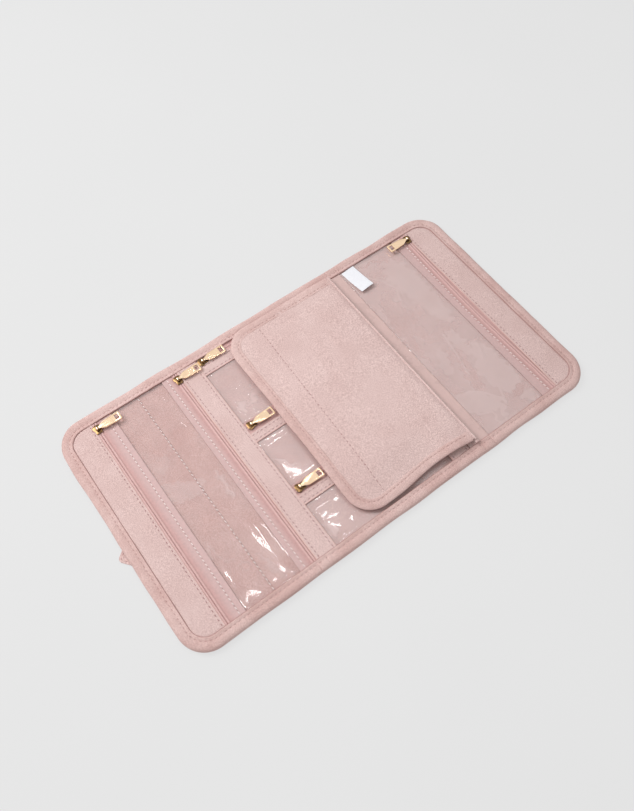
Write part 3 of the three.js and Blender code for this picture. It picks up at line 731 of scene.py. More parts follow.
def thread(name, rgb):
    """Sewing thread: two plies that wind round each other as fine slanting bands."""
    made, tree, shader, at = started(name, {"Specular IOR Level": 0.3})
    ply = weave(tree, at, 600, 0.5, "DIAGONAL")
    base = mixed(tree, ply, toned(rgb, 0.82), toned(rgb, 1.05))
    connect(tree, shader, base, ranged(tree, ply, 0, 1, 0.75, 0.55), ply, 0.00005)
    return made


def label_satin(name, rgb):
    """Woven label: white satin whose fine threads run across it."""
    made, tree, shader, at = started(name, {"Sheen Weight": 0.05})
    warp = weave(tree, at, 700, 0.4, "X")
    base = mixed(tree, ranged(tree, noise(tree, at, 500, 3), 0.3, 0.7), toned(rgb, 0.96), toned(rgb, 1.0))
    connect(tree, shader, base, ranged(tree, warp, 0, 1, 0.5, 0.62), warp, 0.00005, 0.4)
    return made


# Each finish: its maker, the name of its colour and the maker's other values
FINISHES = {
    "blush_suede": (nap, "suede", 0.065, 0.38, 0.12),
    "binding_suede": (nap, "binding", 0.15, 0.3, 0.12),
    "folded_edge": (nap, "fold", 0.08, 0.15, 0.05),
    "pocket_lining": (nap, "lining", 0.14, 0.4, 0.04),
    "clear_film": (film, "film"),
    "spine_film": (spine_film, "lining"),
    "zip_tape_long": (zip_tape, "tape", "Y"),
    "zip_tape_cross": (zip_tape, "tape", "X"),
    "zip_lip": (zip_lip, "tape_lip"),
    "pale_gold": (gold_plate, "gold", False),
    # The sliders get painted shade in their recesses.
    "slider_gold": (gold_plate, "slider_gold", True),
    "rose_thread": (thread, "thread"),
    # The edge thread finish also serves as painted shade on the binding's rim and in the needle holes.
    "edge_thread": (thread, "edge_thread"),
    "pale_thread": (thread, "pale_thread"),
    "label_satin": (label_satin, "label"),
}
MADE_FINISHES = {}


def finish(name):
    """A finish by its name, made when it is first asked for."""
    if name not in MADE_FINISHES:
        maker, colour_name, *rest = FINISHES[name]
        MADE_FINISHES[name] = maker(name, getattr(bpy.context.scene.sleeve_colours, colour_name), *rest)
    return MADE_FINISHES[name]


# Bindings: each section is a list of places across from the edge and heights, with stitches at its row

BINDING_SECTION = np.array(
    [
        (11.0, 0.15), (9.0, 0.0), (5.0, 0.0), (2.5, 0.05), (1.1, 0.45), (0.3, 1.5), (0.0, 3.2), (0.25, 4.9),
        (1.0, 6.0), (2.4, 6.62), (4.2, 6.85), (5.6, 6.78), (6.7, 6.55), (7.3, 6.38), (7.7, 6.32), (8.1, 6.38),
        (8.8, 6.6), (9.8, 6.82), (10.6, 6.8), (11.0, 6.66), (11.2, 6.4), (11.25, 6.0),
        (10.9, 5.75), (8.0, 5.8), (4.0, 5.85), (1.6, 5.6), (1.0, 4.6), (0.95, 3.2), (1.0, 2.0), (1.6, 1.2),
        (4.0, 1.1), (10.9, 1.0),
    ]
)
BINDING_ROW = 7.7
# Faces of the binding's inner rim that take the dark thread finish: a painted shadow where the binding meets the
# cloth.
BINDING_SHADOW_RIM = slice(18, 22)
FLAP_SECTION = np.array(
    [
        (9.5, 10.5), (5.0, 10.45), (2.0, 10.5), (0.8, 10.75), (0.15, 11.2), (0.0, 11.65), (0.15, 12.15),
        (0.7, 12.6), (1.7, 12.9), (3.4, 13.05), (5.2, 13.02), (6.3, 12.88), (6.75, 12.72), (7.0, 12.66),
        (7.3, 12.74), (8.0, 12.9), (8.8, 12.9), (9.3, 12.75), (9.55, 12.5),
        (9.4, 12.3), (5.0, 12.35), (1.5, 12.3), (0.9, 11.95), (0.8, 11.65), (0.9, 11.3), (1.5, 10.85), (9.4, 10.8),
    ]
)
FLAP_ROW = 7.0

# Where the binding is creased, and how far the strap reaches under it
CREASES = (-92.5, -83.6, 85.8, 96.4)
STRAP_REACH = -150


def strap_cover(x, y):
    """1 over the strap's band and 0 outside it, from the distance to the strap's middle line."""
    dx, dy, half = x - STRAP_ROOT[0], y - STRAP_ROOT[1], STRAP_WIDTH / 2
    across = -dx * np.sin(STRAP_TURN) + dy * np.cos(STRAP_TURN)
    return 1 - smooth(np.abs(across), half + 0.4, half + 3)


def binding_heights(line, inward, section, row, lift=None):
    """Places across and heights of a binding's section at each point of its line: the section, a slow
    wander of the whole edge, a dip on each side of every stitch, and the lift of the edge, if it has one."""
    across, height = carried(line, section)
    x, y = places(line, inward, across)
    low, high = section[:, 1].min(), section[:, 1].max()
    upper = smooth(section[:, 1], (low + high) / 2, high - 0.5)
    outer = 1 - smooth(section[:, 0], 0.5, 4.5)
    wave = sizes().binding_wave / MM
    height = height + upper * wave * (0.45 * ripple(x, y, 34, 3) + 0.25 * ripple(x, y, 11, 4))
    across = across + outer * wave * 0.9 * ripple(line[:, :1], line[:, 1:], 46, 5)
    height = height + upper * bell(section[:, 0], row, 1.3) * dips(line) * sizes().pucker / MM
    if lift is not None:
        height = height + lift(x, y)
    return across, height


def binding_row(line, inward, height, section, row, upper, above):
    """Line of a binding's stitches, and a function for the height there: a little above the section's upper
    face at the nearest point of the line."""
    path = line + inward * row
    column = int(np.argmin(np.abs(section[:, 0] - row) + 10 * (section[:, 1] < upper)))
    top = height[:, column] + above

    def height_at(x, y):
        away = (path[None, :, 0] - x[:, None]) ** 2 + (path[None, :, 1] - y[:, None]) ** 2
        return top[np.argmin(away, axis=1)]

    return path, height_at


def case_creases(x):
    """Grooves across the front and back bindings where the case folds."""
    return -sum(0.55 * bell(x, crease, 0.55) for crease in CREASES)


def case_binding(piece, line, inward):
    """One length of the case's binding, which rises over the strap where that passes under it, and its row of
    stitches."""
    across, height = binding_heights(line, inward, BINDING_SECTION, BINDING_ROW)
    x, y = places(line, inward, across)
    height = height + smooth(height, 4, 6) * case_creases(x)
    if np.any(x < STRAP_REACH):
        height = np.where(height < 1.3, np.maximum(height, 1.22 * strap_cover(x, y)), height)
    # Painted shadow: the inner rim's faces take the dark thread finish.
    sides = np.zeros(len(BINDING_SECTION), int)
    sides[BINDING_SHADOW_RIM] = 1
    piece.add(tube(line, inward, across, height), columns=sides)
    path, height_at = binding_row(line, inward, height, BINDING_SECTION, BINDING_ROW, 4, 0.02)
    return piece.add(stitches(path, height_at, seed=len(path)), finish=1)


def edge_lines(x0, x1):
    """The front and back edges between two places along the case, with their inward directions."""
    return lane("x", -HALF_WIDTH, x0, x1), lane("x", HALF_WIDTH, x0, x1, -1)


def make_bindings():
    """Binding round the whole case: two round ends, the centre's two edges, and four lengths that bend."""
    for name, fold_x, outer_x in (
        ("left", LEFT_PANEL_CREASE - BEND_HALF, -CASE_END),
        ("right", RIGHT_PANEL_CREASE + BEND_HALF, CASE_END),
    ):
        line, inward = round_path(fold_x, outer_x, -HALF_WIDTH, HALF_WIDTH, CORNER_RADIUS)
        piece = Piece(f"{name}_edge_tape", "binding_suede", "edge_thread")
        case_binding(piece, line, inward).ride(f"{name}_panel", "binding", [f"{name}_binding"])
    centre = (LEFT_CENTRE_CREASE + BEND_HALF, RIGHT_CENTRE_CREASE - BEND_HALF)
    for side, (line, inward) in zip(("front", "back"), edge_lines(*centre)):
        piece = Piece(f"centre_edge_tape_{side}", "binding_suede", "edge_thread")
        case_binding(piece, line, inward).ride("centre", "binding", [f"centre_binding_{side}"])
    stands_for = {"left_panel_bend": "left_spine", "right_panel_bend": "right_spine"}
    for where, ends in REACH.items():
        piece = Piece(f"{where}_edge_tape", "binding_suede", "edge_thread")
        for line, inward in edge_lines(*ends):
            case_binding(piece, line, inward)
        spine = stands_for.get(where)
        piece.bend(where, "binding", [f"{spine}_binding_front", f"{spine}_binding_back"] if spine else [])


# Outer cover and linings


def half_reach(x, outer_x, half, radius):
    """Half width of a panel at each place along it, with a rounded end at its outer x."""
    return rounded_reach(np.abs(x) - (abs(outer_x) - radius), half, radius)


def panel_slab(x0, x1, half, low, high, rim=0.5, step=2.5, radius=None, wave=None, sag=None):
    """Sheet between two places along the case, with a rounded end at x1 if a radius is given: its half
    thickness follows a quarter ellipse at the rims, and its upper and lower faces get the given waves."""
    xs = spaced(x0, x1, step, rim)
    reach = half_reach(xs, x1, half, radius) if radius else np.full(len(xs), half)
    x, y, side = fanned(xs, reach, half, step, rim)
    share = rounding(np.minimum(np.minimum(np.abs(x - x0), np.abs(x1 - x)), side), rim)
    middle, thick = (low + high) / 2, (high - low) / 2
    top = middle + thick * share + (wave(x, y) * share if wave else 0)
    bottom = middle - thick * share - (sag(x, y) * share if sag else 0)
    return slab(x, y, bottom, top)


def belly(x, y):
    """How far the outer cover sags towards the table: a little everywhere, less beside the strap."""
    return (0.25 + 0.12 * ripple(x, y, 60, 11)) * (1 - strap_cover(x, y))


def lining_wave(x, y):
    """Soft unevenness of the padded lining."""
    return 0.1 * ripple(x, y, 45, 12) + 0.05 * ripple(x, y, 14, 13)


def sections(gap, inset):
    """The three wide sections of a layer: name, body, ends along the case and radius of the rounded end."""
    radius = CORNER_RADIUS - inset
    return (
        ("left", "left_panel", LEFT_PANEL_CREASE - gap, inset - CASE_END, radius),
        ("right", "right_panel", RIGHT_PANEL_CREASE + gap, CASE_END - inset, radius),
        ("centre", "centre", LEFT_CENTRE_CREASE + gap, RIGHT_CENTRE_CREASE - gap, None),
    )


def make_covers():
    """Outer cover in seven lengths, so that it bends at each crease."""
    half = HALF_WIDTH - COVER_INSET
    for name, body, x0, x1, radius in sections(BEND_HALF, COVER_INSET):
        piece = Piece(f"{name}_outer_suede", "blush_suede")
        piece.add(panel_slab(x0, x1, half, COVER_LOW, COVER_HIGH, radius=radius, sag=belly))
        piece.ride(body, "suede", [f"{name}_cover"])
    for where, (x0, x1) in REACH.items():
        piece = Piece(f"{where}_outer_suede", "blush_suede")
        piece.add(panel_slab(x0, x1, half, COVER_LOW, COVER_HIGH, rim=0.15, step=1.0, sag=belly))
        piece.bend(where, "suede")


def make_linings():
    """Padded lining of each section and spine, declared as padding."""
    half = HALF_WIDTH - LINING_INSET
    for name, body, x0, x1, radius in sections(0.15, LINING_INSET):
        piece = Piece(f"{name}_padded_lining", "pocket_lining")
        piece.add(panel_slab(x0, x1, half, LINING_LOW, LINING_HIGH, radius=radius, wave=lining_wave))
        piece.ride(body, "lining", [f"{name}_padding"])
    for name, x0, x1 in (
        ("left_spine", LEFT_PANEL_CREASE, LEFT_CENTRE_CREASE),
        ("right_spine", RIGHT_CENTRE_CREASE, RIGHT_PANEL_CREASE),
    ):
        piece = Piece(f"{name}_padded_lining", "pocket_lining")
        piece.add(panel_slab(x0 + 0.2, x1 - 0.2, half, LINING_LOW, TAPE_HIGH, rim=0.6))
        piece.ride(name, "lining", [f"{name}_core"])


# Clear pockets

# Folds: height, width and line. Patches, which are partly the film standing off the lining and partly painted
# sheen and painted shade: strength, softness of the rim and outline. Painted light lines, painted highlights
# along the wrinkles with one painted shade line: strength, width and line.
LEFT_FOLDS = [
    (0.18, 3.0, [(-154, 104), (-149, 82), (-153, 58)]),
    (0.2, 2.0, [(-112, 96), (-116, 76), (-111, 58)]),
]
LEFT_PATCHES = [
    (0.3, 0.6, [(-160, 24), (-147, 19), (-140.6, 12.6), (-131.7, 10.3), (-126, 7.4), (-128, 3), (-133, -0.2),
                (-134, -5.4), (-139.7, -2.5), (-145.7, -3.8), (-156, -1), (-160, 12)]),
    (0.34, 0.6, [(-116.5, 11.6), (-112.7, 7.3), (-112.4, -6.7), (-114.2, -22.9), (-115.4, -25.6), (-117, -20),
                 (-116.6, -5.7), (-117, 5)]),
    (0.26, 0.8, [(-128.3, -75.2), (-124, -79), (-121.7, -88.7), (-115, -98.9), (-110.2, -106.4), (-116.7, -107),
                 (-124.5, -101.6), (-125.6, -92.4), (-127.5, -80.5)]),
    (0.16, 1.4, [(-160, 60), (-150, 56), (-143, 44), (-141.5, 38), (-148, 30), (-160, 32)]),
    (-0.14, 2.5, [(-131, 60), (-118, 66), (-112, 44), (-120, 24), (-130, 30)]),
]
LEFT_PAINTED_LIGHT_LINES = [
    (0.3, 0.7, [(-154.7, -42.9), (-157.5, -49.6), (-158.4, -57), (-160, -55), (-158.5, -49)]),
    (0.3, 0.7, [(-155.2, -46.6), (-154.2, -56.7), (-151.2, -65.5), (-144.2, -68)]),
    (0.3, 0.7, [(-145.6, -74.9), (-140.9, -73.4), (-136.2, -77.6), (-137.6, -81.4), (-141.1, -82.1),
                (-144.4, -79)]),
    (0.24, 0.8, [(-132.2, 55.8), (-134.2, 48.1), (-143.2, 44.1), (-141.5, 38.4)]),
]
RIGHT_FOLDS = [
    (0.3, 1.6, [(133.5, -6.2), (130, -26), (124, -52.1), (127, -72)]),
    (0.25, 1.8, [(154.5, -28.5), (150.5, -40), (146.9, -47.5)]),
    (0.3, 1.6, [(115.9, 90.8), (126.5, 76.7), (131.9, 62.7), (126, 49.1), (124, 28)]),
    (0.22, 2.0, [(101, 62), (104, 40), (103, 14), (108, -12)]),
]
RIGHT_PATCHES = [
    (0.3, 1.0, [(92, -58), (101, -62), (112, -65.5), (123.9, -76.8), (132.3, -92.9), (126, -97), (114.8, -93.1),
                (108, -90.4), (103.3, -88.1), (97, -80), (91, -72)]),
    (0.45, 0.8, [(125, -92), (129, -94), (122, -107), (118, -108.5), (120.5, -101)]),
    (0.35, 0.8, [(114.5, -94.4), (117, -95), (115.8, -105), (113.6, -105.4)]),
    (0.28, 1.6, [(146, -26), (157, -34), (160, -52), (160, -84), (152, -88), (141, -90), (134, -74), (131.5, -58),
                 (139, -44)]),
    (-0.22, 2.0, [(135, -38), (130, -60), (125.4, -76), (117, -66), (121, -48), (124.5, -35)]),
    (-0.2, 1.6, [(166, -86), (150, -87), (138, -95), (147, -96), (158, -92)]),
    (0.26, 1.4, [(147, -96), (160, -95), (158, -105), (146, -106)]),
    (0.24, 3.0, [(136, 96), (158, 90), (159, 20), (150, -4), (141, 12), (134, 52), (130, 74)]),
    (-0.16, 3.0, [(112, 66), (126, 44), (122, 0), (112, -30), (100, -24), (100, 40)]),
    (0.18, 2.0, [(108, 12), (116, 6), (122, -20), (118, -40), (108, -44), (104, -16)]),
    (0.2, 1.6, [(137, -2), (146, -8), (144, -34), (137, -40), (133, -20)]),
]
RIGHT_PAINTED_LIGHT_LINES = [
    (0.3, 1.0, [(133.5, -6.2), (130, -26), (124, -52.1)]),
    (0.3, 1.0, [(140.8, -65.9), (137, -80), (131, -94.4)]),
    (0.3, 0.9, [(103.3, -88.1), (108, -90.4), (114.8, -93.1)]),
    (0.3, 0.9, [(112, -65.5), (118, -70.5), (123.9, -76.8), (128.5, -85), (132.3, -92.9)]),
    (0.22, 1.0, [(115.9, 90.8), (126.5, 76.7), (131.9, 62.7), (126, 49.1)]),
    (-0.25, 1.2, [(117.6, 104), (124, 99.8), (131.2, 103.6), (138.1, 97.7)]),
    (0.25, 0.8, [(95, -76), (101, -81), (104, -88)]),
]
POCKET_FOLDS = [
    (0.3, 2.2, [(-58, 72), (-48, 60), (-45, 44), (-52, 34)]),
    (0.35, 1.2, [(-68, -27), (-62, -31), (-56, -38)]),
    (0.35, 0.9, [(-69.7, -81), (-65.1, -79), (-61.2, -85), (-54.2, -87.2), (-60.7, -93.3), (-69, -84)]),
]
POCKET_PATCHES = [
    (0.3, 1.6, [(-36.6, 53.3), (-40, 48), (-48.5, 42.5), (-56, 40.5), (-50, 48), (-42, 53)]),
    (0.26, 1.6, [(-64, 52), (-55, 48), (-60, 40), (-66, 42)]),
    (0.3, 0.9, [(-69, -12), (-64, -16), (-60.8, -19.5), (-54.3, -30.3), (-55.4, -32), (-61.8, -27.1),
                (-66.5, -20)]),
    (0.5, 0.5, [(-51.6, 8.6), (-45.6, 9.4), (-45.4, 7.2), (-48.1, 6.4), (-51.7, 6.2)]),
    (0.25, 1.2, [(-70, -84), (-62, -88), (-58, -97), (-66, -104), (-70, -100)]),
]

# Along the case: both ends of each sheet of film, and both ends of the part of it that shows
LEFT_WINDOW, LEFT_SHOWN = (-165.9, -101.7), (-160.4, -107.2)
RIGHT_WINDOW, RIGHT_SHOWN = (97.0, 165.4), (97.6, 162.5)
POCKET_WINDOW, POCKET_SHOWN = (-72.2, 74.1), (-70.9, FOLD_STRIP[0])
WINDOW_END = HALF_WIDTH - 1.6
POCKET_ENDS = {"a": (28.1, 99.2), "b": (-45.4, 18.4), "c": (-WINDOW_END, -55.1)}

# Glints in the film: strip lamps mirrored there. Place of the middle, length, width and direction of each.
GLINTS = [
    ((-116.9, -74.3), 33, 4.2, (0.31, -0.95)),
    ((-143.6, -103.4), 17, 4.6, (0.765, -0.645)),
    ((-41.0, 3.4), 9, 4.6, (0.93, 0.36)),
    ((-62.6, -31.4), 19, 3.2, (0.76, -0.65)),
    ((-59.4, -38.6), 9, 2.0, (0.98, -0.2)),
    ((-46.0, -40.6), 14, 1.6, (1.0, 0.06)),
    ((-67.6, -1.9), 4.5, 1.5, (0.95, 0.3)),
    ((-62.7, -67.4), 4.0, 1.2, (0.8, -0.6)),
    ((-46.8, -75.8), 3.4, 2.6, (1.0, 0.0)),
    ((-65.4, -81.5), 9, 1.7, (0.9, 0.2)),
    ((-57.5, -86.2), 9, 1.8, (0.95, -0.3)),
    ((-62.0, -92.6), 12, 1.6, (0.75, -0.66)),
    ((-46.2, -97.4), 4.0, 1.3, (0.5, 0.86)),
    ((-58.6, -106.8), 6.0, 1.2, (0.6, 0.8)),
    ((-60.0, 87.6), 5.0, 1.2, (0.9, -0.2)),
    ((-68.6, 53.4), 3.6, 1.2, (0.5, -0.86)),
]


def film_sheet(x0, x1, y0, y1, shown, folds, patches, painted_light_lines, seed, veil, joined=0, seam=None):
    """Clear film over a rectangle. It lies low at the sides of the shown part and along its seam, if it has
    one, and swells between them, with the listed folds and with slow waves that calm down round the glints. It
    rises to the binding, to a zip at its high y end and, over the joined length, to the strip at its low x
    side. Gives the surface and its haze: an even veil, the listed patches, each full inside its outline, and
    the listed marks, each a bell of the distance from its line."""
    xs, ys = spaced(x0, x1, 1.0, 0.3, 3), spaced(y0, y1, 1.0, 0.3, 3)
    x, y = np.meshgrid(xs, ys, indexing="ij")
    left, right, front, back = shown
    side, end = np.minimum(x - left, right - x), np.minimum(y - front, back - y)
    free = smooth(side, 0, 7) * smooth(end, 0, 7)
    if seam is not None:
        free = free * smooth(np.abs(x - seam), 0.6, 12)
    bound = np.minimum(y - front if y0 < -INNER_HALF else FAR, back - y if y1 > INNER_HALF else FAR)
    lifted = (1 - smooth(bound, 0, 5)) * smooth(side, 0, 4)
    rise = 1 - smooth(x - left, 0, joined) if joined else 0.48 * (1 - smooth(side, 0, 8))
    lifted = np.maximum(lifted, rise)
    if y1 < INNER_HALF:
        under_zip = 1 - smooth(y - back, 0, 3)
        lifted = np.maximum(lifted * under_zip, (1 - smooth(back - y, 0, 9)) * under_zip)
    calm = np.ones(x.shape)
    for (gx, gy), reach, _, (dx, dy) in GLINTS:
        line = [(gx - dx * reach / 2, gy - dy * reach / 2), (gx + dx * reach / 2, gy + dy * reach / 2)]
        calm *= smooth(distance_to(x, y, line), 3, 20)
    wave = 0.3 + calm * (0.3 * ripple(x, y, 60, seed) + 0.06 * ripple(x, y, 24, seed + 1))
    swell = sizes().film_swell / MM * np.clip(wave, -0.2, 1.4)
    middle = FILM_REST + free * swell + smooth(side, 0, 2) * smooth(end, 0, 2) * creases(x, y, folds) * calm
    middle = np.maximum(middle + lifted * (FILM_TOP - FILM_REST), LINING_HIGH + 0.3)
    half = sizes().film_thickness / MM / 2
    share = rounding(np.minimum(np.minimum(x - x0, x1 - x), np.minimum(y - y0, y1 - y)), 0.3)
    surface = slab(x, y, middle - half * share, middle + half * share)
    # Painted light: the patches and lines add painted sheen, painted highlights and painted shade to the haze.
    haze = veil + 0.05 * ripple(x, y, 40, seed + 3) + creases(x, y, painted_light_lines)
    wander_x, wander_y = x + 1.1 * ripple(x, y, 9, seed + 5), y + 1.1 * ripple(x, y, 9, seed + 6)
    for strength, soft, corners in patches:
        haze = haze + strength * smooth(within(wander_x, wander_y, eased(corners)), -soft, soft)
    return surface, np.concatenate([haze.ravel(), haze[~rim_mask(x.shape)]])


def level(height):
    """A function that gives one height everywhere."""
    return lambda x, y: np.full(len(x), height)


def pale_row(piece, line, height, seed, finish=1, hole_shade=2):
    """Row of thick pale stitches with the dark of a needle hole between each and the next."""
    piece.add(stitches(line, level(height), seed, 0.24, 1.25, 1.15), finish=finish)
    # Painted shade: short dark capsules stand for the shade in the needle holes.
    piece.add(stitches(line, level(height - 0.1), seed, 0.0, 0.45, 1.5, 0.5), finish=hole_shade)


def make_windows():
    """Clear film of the left pocket, the three centre pockets and the right pocket."""
    ends, shown_ends = (-WINDOW_END, WINDOW_END), (-INNER_HALF, INNER_HALF)
    looks = (LEFT_FOLDS, LEFT_PATCHES, LEFT_PAINTED_LIGHT_LINES, 21, 0.2)
    surface, haze = film_sheet(*LEFT_WINDOW, *ends, (*LEFT_SHOWN, *shown_ends), *looks, seam=LEFT_SEAM)
    piece = Piece("left_clear_film", "clear_film", "pale_thread", "edge_thread").add(surface, haze=haze)
    seam = lane("y", LEFT_SEAM, ROW_INSET - INNER_HALF, INNER_HALF - ROW_INSET)[0]
    pale_row(piece, seam, FILM_REST + 0.4, 22)
    piece.ride("left_panel", "vinyl", ["left_window"])

    looks = (RIGHT_FOLDS, RIGHT_PATCHES, RIGHT_PAINTED_LIGHT_LINES, 31, 0.72)
    surface, haze = film_sheet(*RIGHT_WINDOW, *ends, (*RIGHT_SHOWN, *shown_ends), *looks, joined=14)
    Piece("right_clear_film", "clear_film").add(surface, haze=haze).ride("right_panel", "vinyl", ["right_window"])

    for letter, (y0, y1) in POCKET_ENDS.items():
        shown = (*POCKET_SHOWN, max(y0, -INNER_HALF) - 2, POCKET_STRIPS[letter][0])
        listed = (POCKET_FOLDS, POCKET_PATCHES)
        folds, patches = ([entry for entry in table if y0 - 4 < entry[2][0][1] < y1 + 4] for table in listed)
        looks = (folds, patches, [], 41 + ord(letter), 0.6)
        surface, haze = film_sheet(*POCKET_WINDOW, y0, y1, shown, *looks, joined=5)
        piece = Piece(f"pocket_{letter}_clear_film", "clear_film").add(surface, haze=haze)
        piece.ride("centre", "vinyl", [f"pocket_{letter}_window"])


# Zips: section of the lip, widths of the tapes to the left and right of each long slit, side and place of each
# row of stitches, bow of the right slit, how far the long tapes reach, and widths of the pockets' tapes

TAPE_SECTION = np.array(
    [
        (0.03, 5.2), (0.04, 5.4), (0.3, 5.7), (0.75, 5.96), (1.2, 6.04), (1.65, 5.96), (2.0, 5.76), (2.35, 5.5),
        (2.9, 5.26), (3.4, 5.3),
    ]
)
TAPE_WIDTH = 13.5
LEFT_OUTER_TAPES = (TAPE_WIDTH, 17.0)
LEFT_INNER_TAPES = (TAPE_WIDTH, LEFT_PANEL_CREASE - 0.2 - LEFT_INNER_SLIT)
RIGHT_TAPES = (14.4, TAPE_WIDTH)
LEFT_OUTER_ROW = {1: (-165.8,)}
LEFT_INNER_ROW = {-1: (-102.2,)}
RIGHT_ROW = {-1: (171.2,)}
RIGHT_BOW = 2.4
TAPE_REACH = HALF_WIDTH - 1.5
POCKET_TAPE_FRONT = 11.0
POCKET_TAPE_BACK = {"a": TAPE_REACH - POCKET_SLITS["a"], "b": 5.9, "c": 5.9}


def tape_section(width):
    """Section of a zip tape: a rounded lip beside the slit, a flat tape, and a thin turned edge. Gives the
    section and which finish each side of it has."""
    flat = [(t, TAPE_HIGH) for t in (4.0, 5.0, 6.5, 8.5) if t < width - 1]
    flat += [(width - 0.9, TAPE_HIGH), (width - 0.5, TAPE_HIGH + 0.08), (width - 0.15, TAPE_HIGH + 0.04)]
    edge = [(width, 5.25), (width - 0.15, 5.02)]
    under = [(width - 2, TAPE_LOW), (2.0, TAPE_LOW), (0.5, TAPE_LOW)]
    section = np.concatenate([TAPE_SECTION, flat, edge, under])
    columns = np.zeros(len(section), int)
    columns[2 : len(TAPE_SECTION) - 4] = 1
    return section, columns


def slit_bow(along, across, width, depth):
    """How far a long slit lies to the left of straight: the square of a cosine along it, full near the slit
    and nothing at the tape's outer edge."""
    return -depth * np.cos(np.pi * along / (2 * HALF_WIDTH)) ** 2 * (1 - smooth(across, 4, width - 2))


def make_tape(name, body, node_name, heading, at, side, width, start, end, rows=(), bow=0.0):
    """One tape: its section carried along the slit, on the side that it lies, with a small wave of the lip
    and the bow of the slit. Its tone turns from rose to pale with the distance from the slit."""
    section, columns = tape_section(width)
    line, inward = lane(heading, at, start, end, side, 1.0)
    across, height = carried(line, section)
    lip = bell(section[:, 0], 1.2, 0.7) * (section[:, 1] > 5.6)
    height = height + lip * 0.05 * ripple(line[:, :1], line[:, 1:], 13, 51)
    cloth = "zip_tape_long" if heading == "y" else "zip_tape_cross"
    piece = Piece(name, cloth, "zip_lip", "pale_thread", "edge_thread")
    haze = smooth(across, 2.6, 9.5).ravel()
    if bow:
        across = across + side * slit_bow(line[:, 1:], across, width, bow)
    piece.add(tube(line, inward, across, height), columns=columns, haze=haze)
    for row in rows:
        path = lane("y", row, ROW_INSET - INNER_HALF, INNER_HALF - ROW_INSET)[0]
        path[:, 0] += slit_bow(path[:, 1], abs(row - at), width, bow)
        pale_row(piece, path, TAPE_HIGH + 0.15, int(abs(row)), 2, 3)
    return piece.ride(body, "zip_tape", [node_name])


def make_zip_tapes():
    """Twelve tapes: two for each of the six zips."""
    for name, body, at, widths, rows, bow in (
        ("left_outer_zip", "left_panel", LEFT_OUTER_SLIT, LEFT_OUTER_TAPES, LEFT_OUTER_ROW, 0),
        ("left_inner_zip", "left_panel", LEFT_INNER_SLIT, LEFT_INNER_TAPES, LEFT_INNER_ROW, 0),
        ("right_zip", "right_panel", RIGHT_SLIT, RIGHT_TAPES, RIGHT_ROW, RIGHT_BOW),
    ):
        for side, word, width in zip((-1, 1), ("left", "right"), widths):
            names = (f"{name}_woven_{word}", body, f"{name}_tape_{word}")
            make_tape(*names, "y", at, side, width, -TAPE_REACH, TAPE_REACH, rows.get(side, ()), bow)
    ends = (LEFT_CENTRE_CREASE + 0.2, POCKET_WINDOW[1])
    for letter, at in POCKET_SLITS.items():
        for side, word, width in ((-1, "front", POCKET_TAPE_FRONT), (1, "back", POCKET_TAPE_BACK[letter])):
            names = (f"pocket_{letter}_zip_woven_{word}", "centre", f"pocket_{letter}_zip_tape_{word}")
            make_tape(*names, "x", at, side, width, *ends)


def make_metal():
    """Sliders and pulls: each CAD mesh copied, its doubles merged, its flat faces joined again, and its
    edges rounded."""
    bevel = {"width": sizes().metal_bevel, "segments": 2, "limit_method": "ANGLE", "angle_limit": METAL_FOLD}
    bevel |= {"use_clamp_overlap": True, "harden_normals": False}
    steps = {
        "WELD": {"merge_threshold": 1e-6},
        "DECIMATE": {"decimate_type": "DISSOLVE", "angle_limit": 0.02},
        "BEVEL": bevel,
    }
    for name in (f"{part}_{number}" for number in range(1, 7) for part in ("slider", "pull")):
        mesh = frame["nodes"][name].data.copy()
        made = linked(f"gold_{name}", mesh)
        mesh.materials.clear()
        mesh.materials.append(finish("slider_gold" if name.startswith("slider") else "pale_gold"))
        mesh.polygons.foreach_set("material_index", np.zeros(len(mesh.polygons), np.int32))
        for kind, values in steps.items():
            modifier = made.modifiers.new(kind.lower(), kind)
            for key, value in values.items():
                setattr(modifier, key, value)
        finished = bpy.data.meshes.new_from_object(made.evaluated_get(bpy.context.evaluated_depsgraph_get()))
        made.modifiers.clear()
        made.data = finished
        finished.polygons.foreach_set("use_smooth", np.ones(len(finished.polygons), bool))
        finished.set_sharp_from_angle(angle=METAL_FOLD)
        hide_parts(name)
        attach(made, name)


# Suede strips: rounding of their edges, extra points beside each row of stitches and edge, wavelength and
# seed of their ripples, and width of the folded edge

SUEDE_RIM = 0.35
NEAR_ROW = np.array([-0.9, -0.45, 0, 0.45, 0.9])
NEAR_EDGE = np.array([0.6, 0.9])
STRIP_RIPPLE = (22, 61)
END_RIPPLE = (30, 62)
FOLDED_EDGE = 0.62
SUEDE_FINISHES = ("blush_suede", "folded_edge")

# Place of the stitches on the left spine, how far the other rows lie inside the strips' edges, how far the
# strips reach under the binding, and the gap between an end strip and its slit
SPINE_ROWS = {"outer": (-88.2,), "inner": (-73.7,)}
STRIP_ROW = 2.6
STRIP_FRONT_ROW = 2.4
STRIP_PAST = 0.6
SLIT_GAP = 2.0


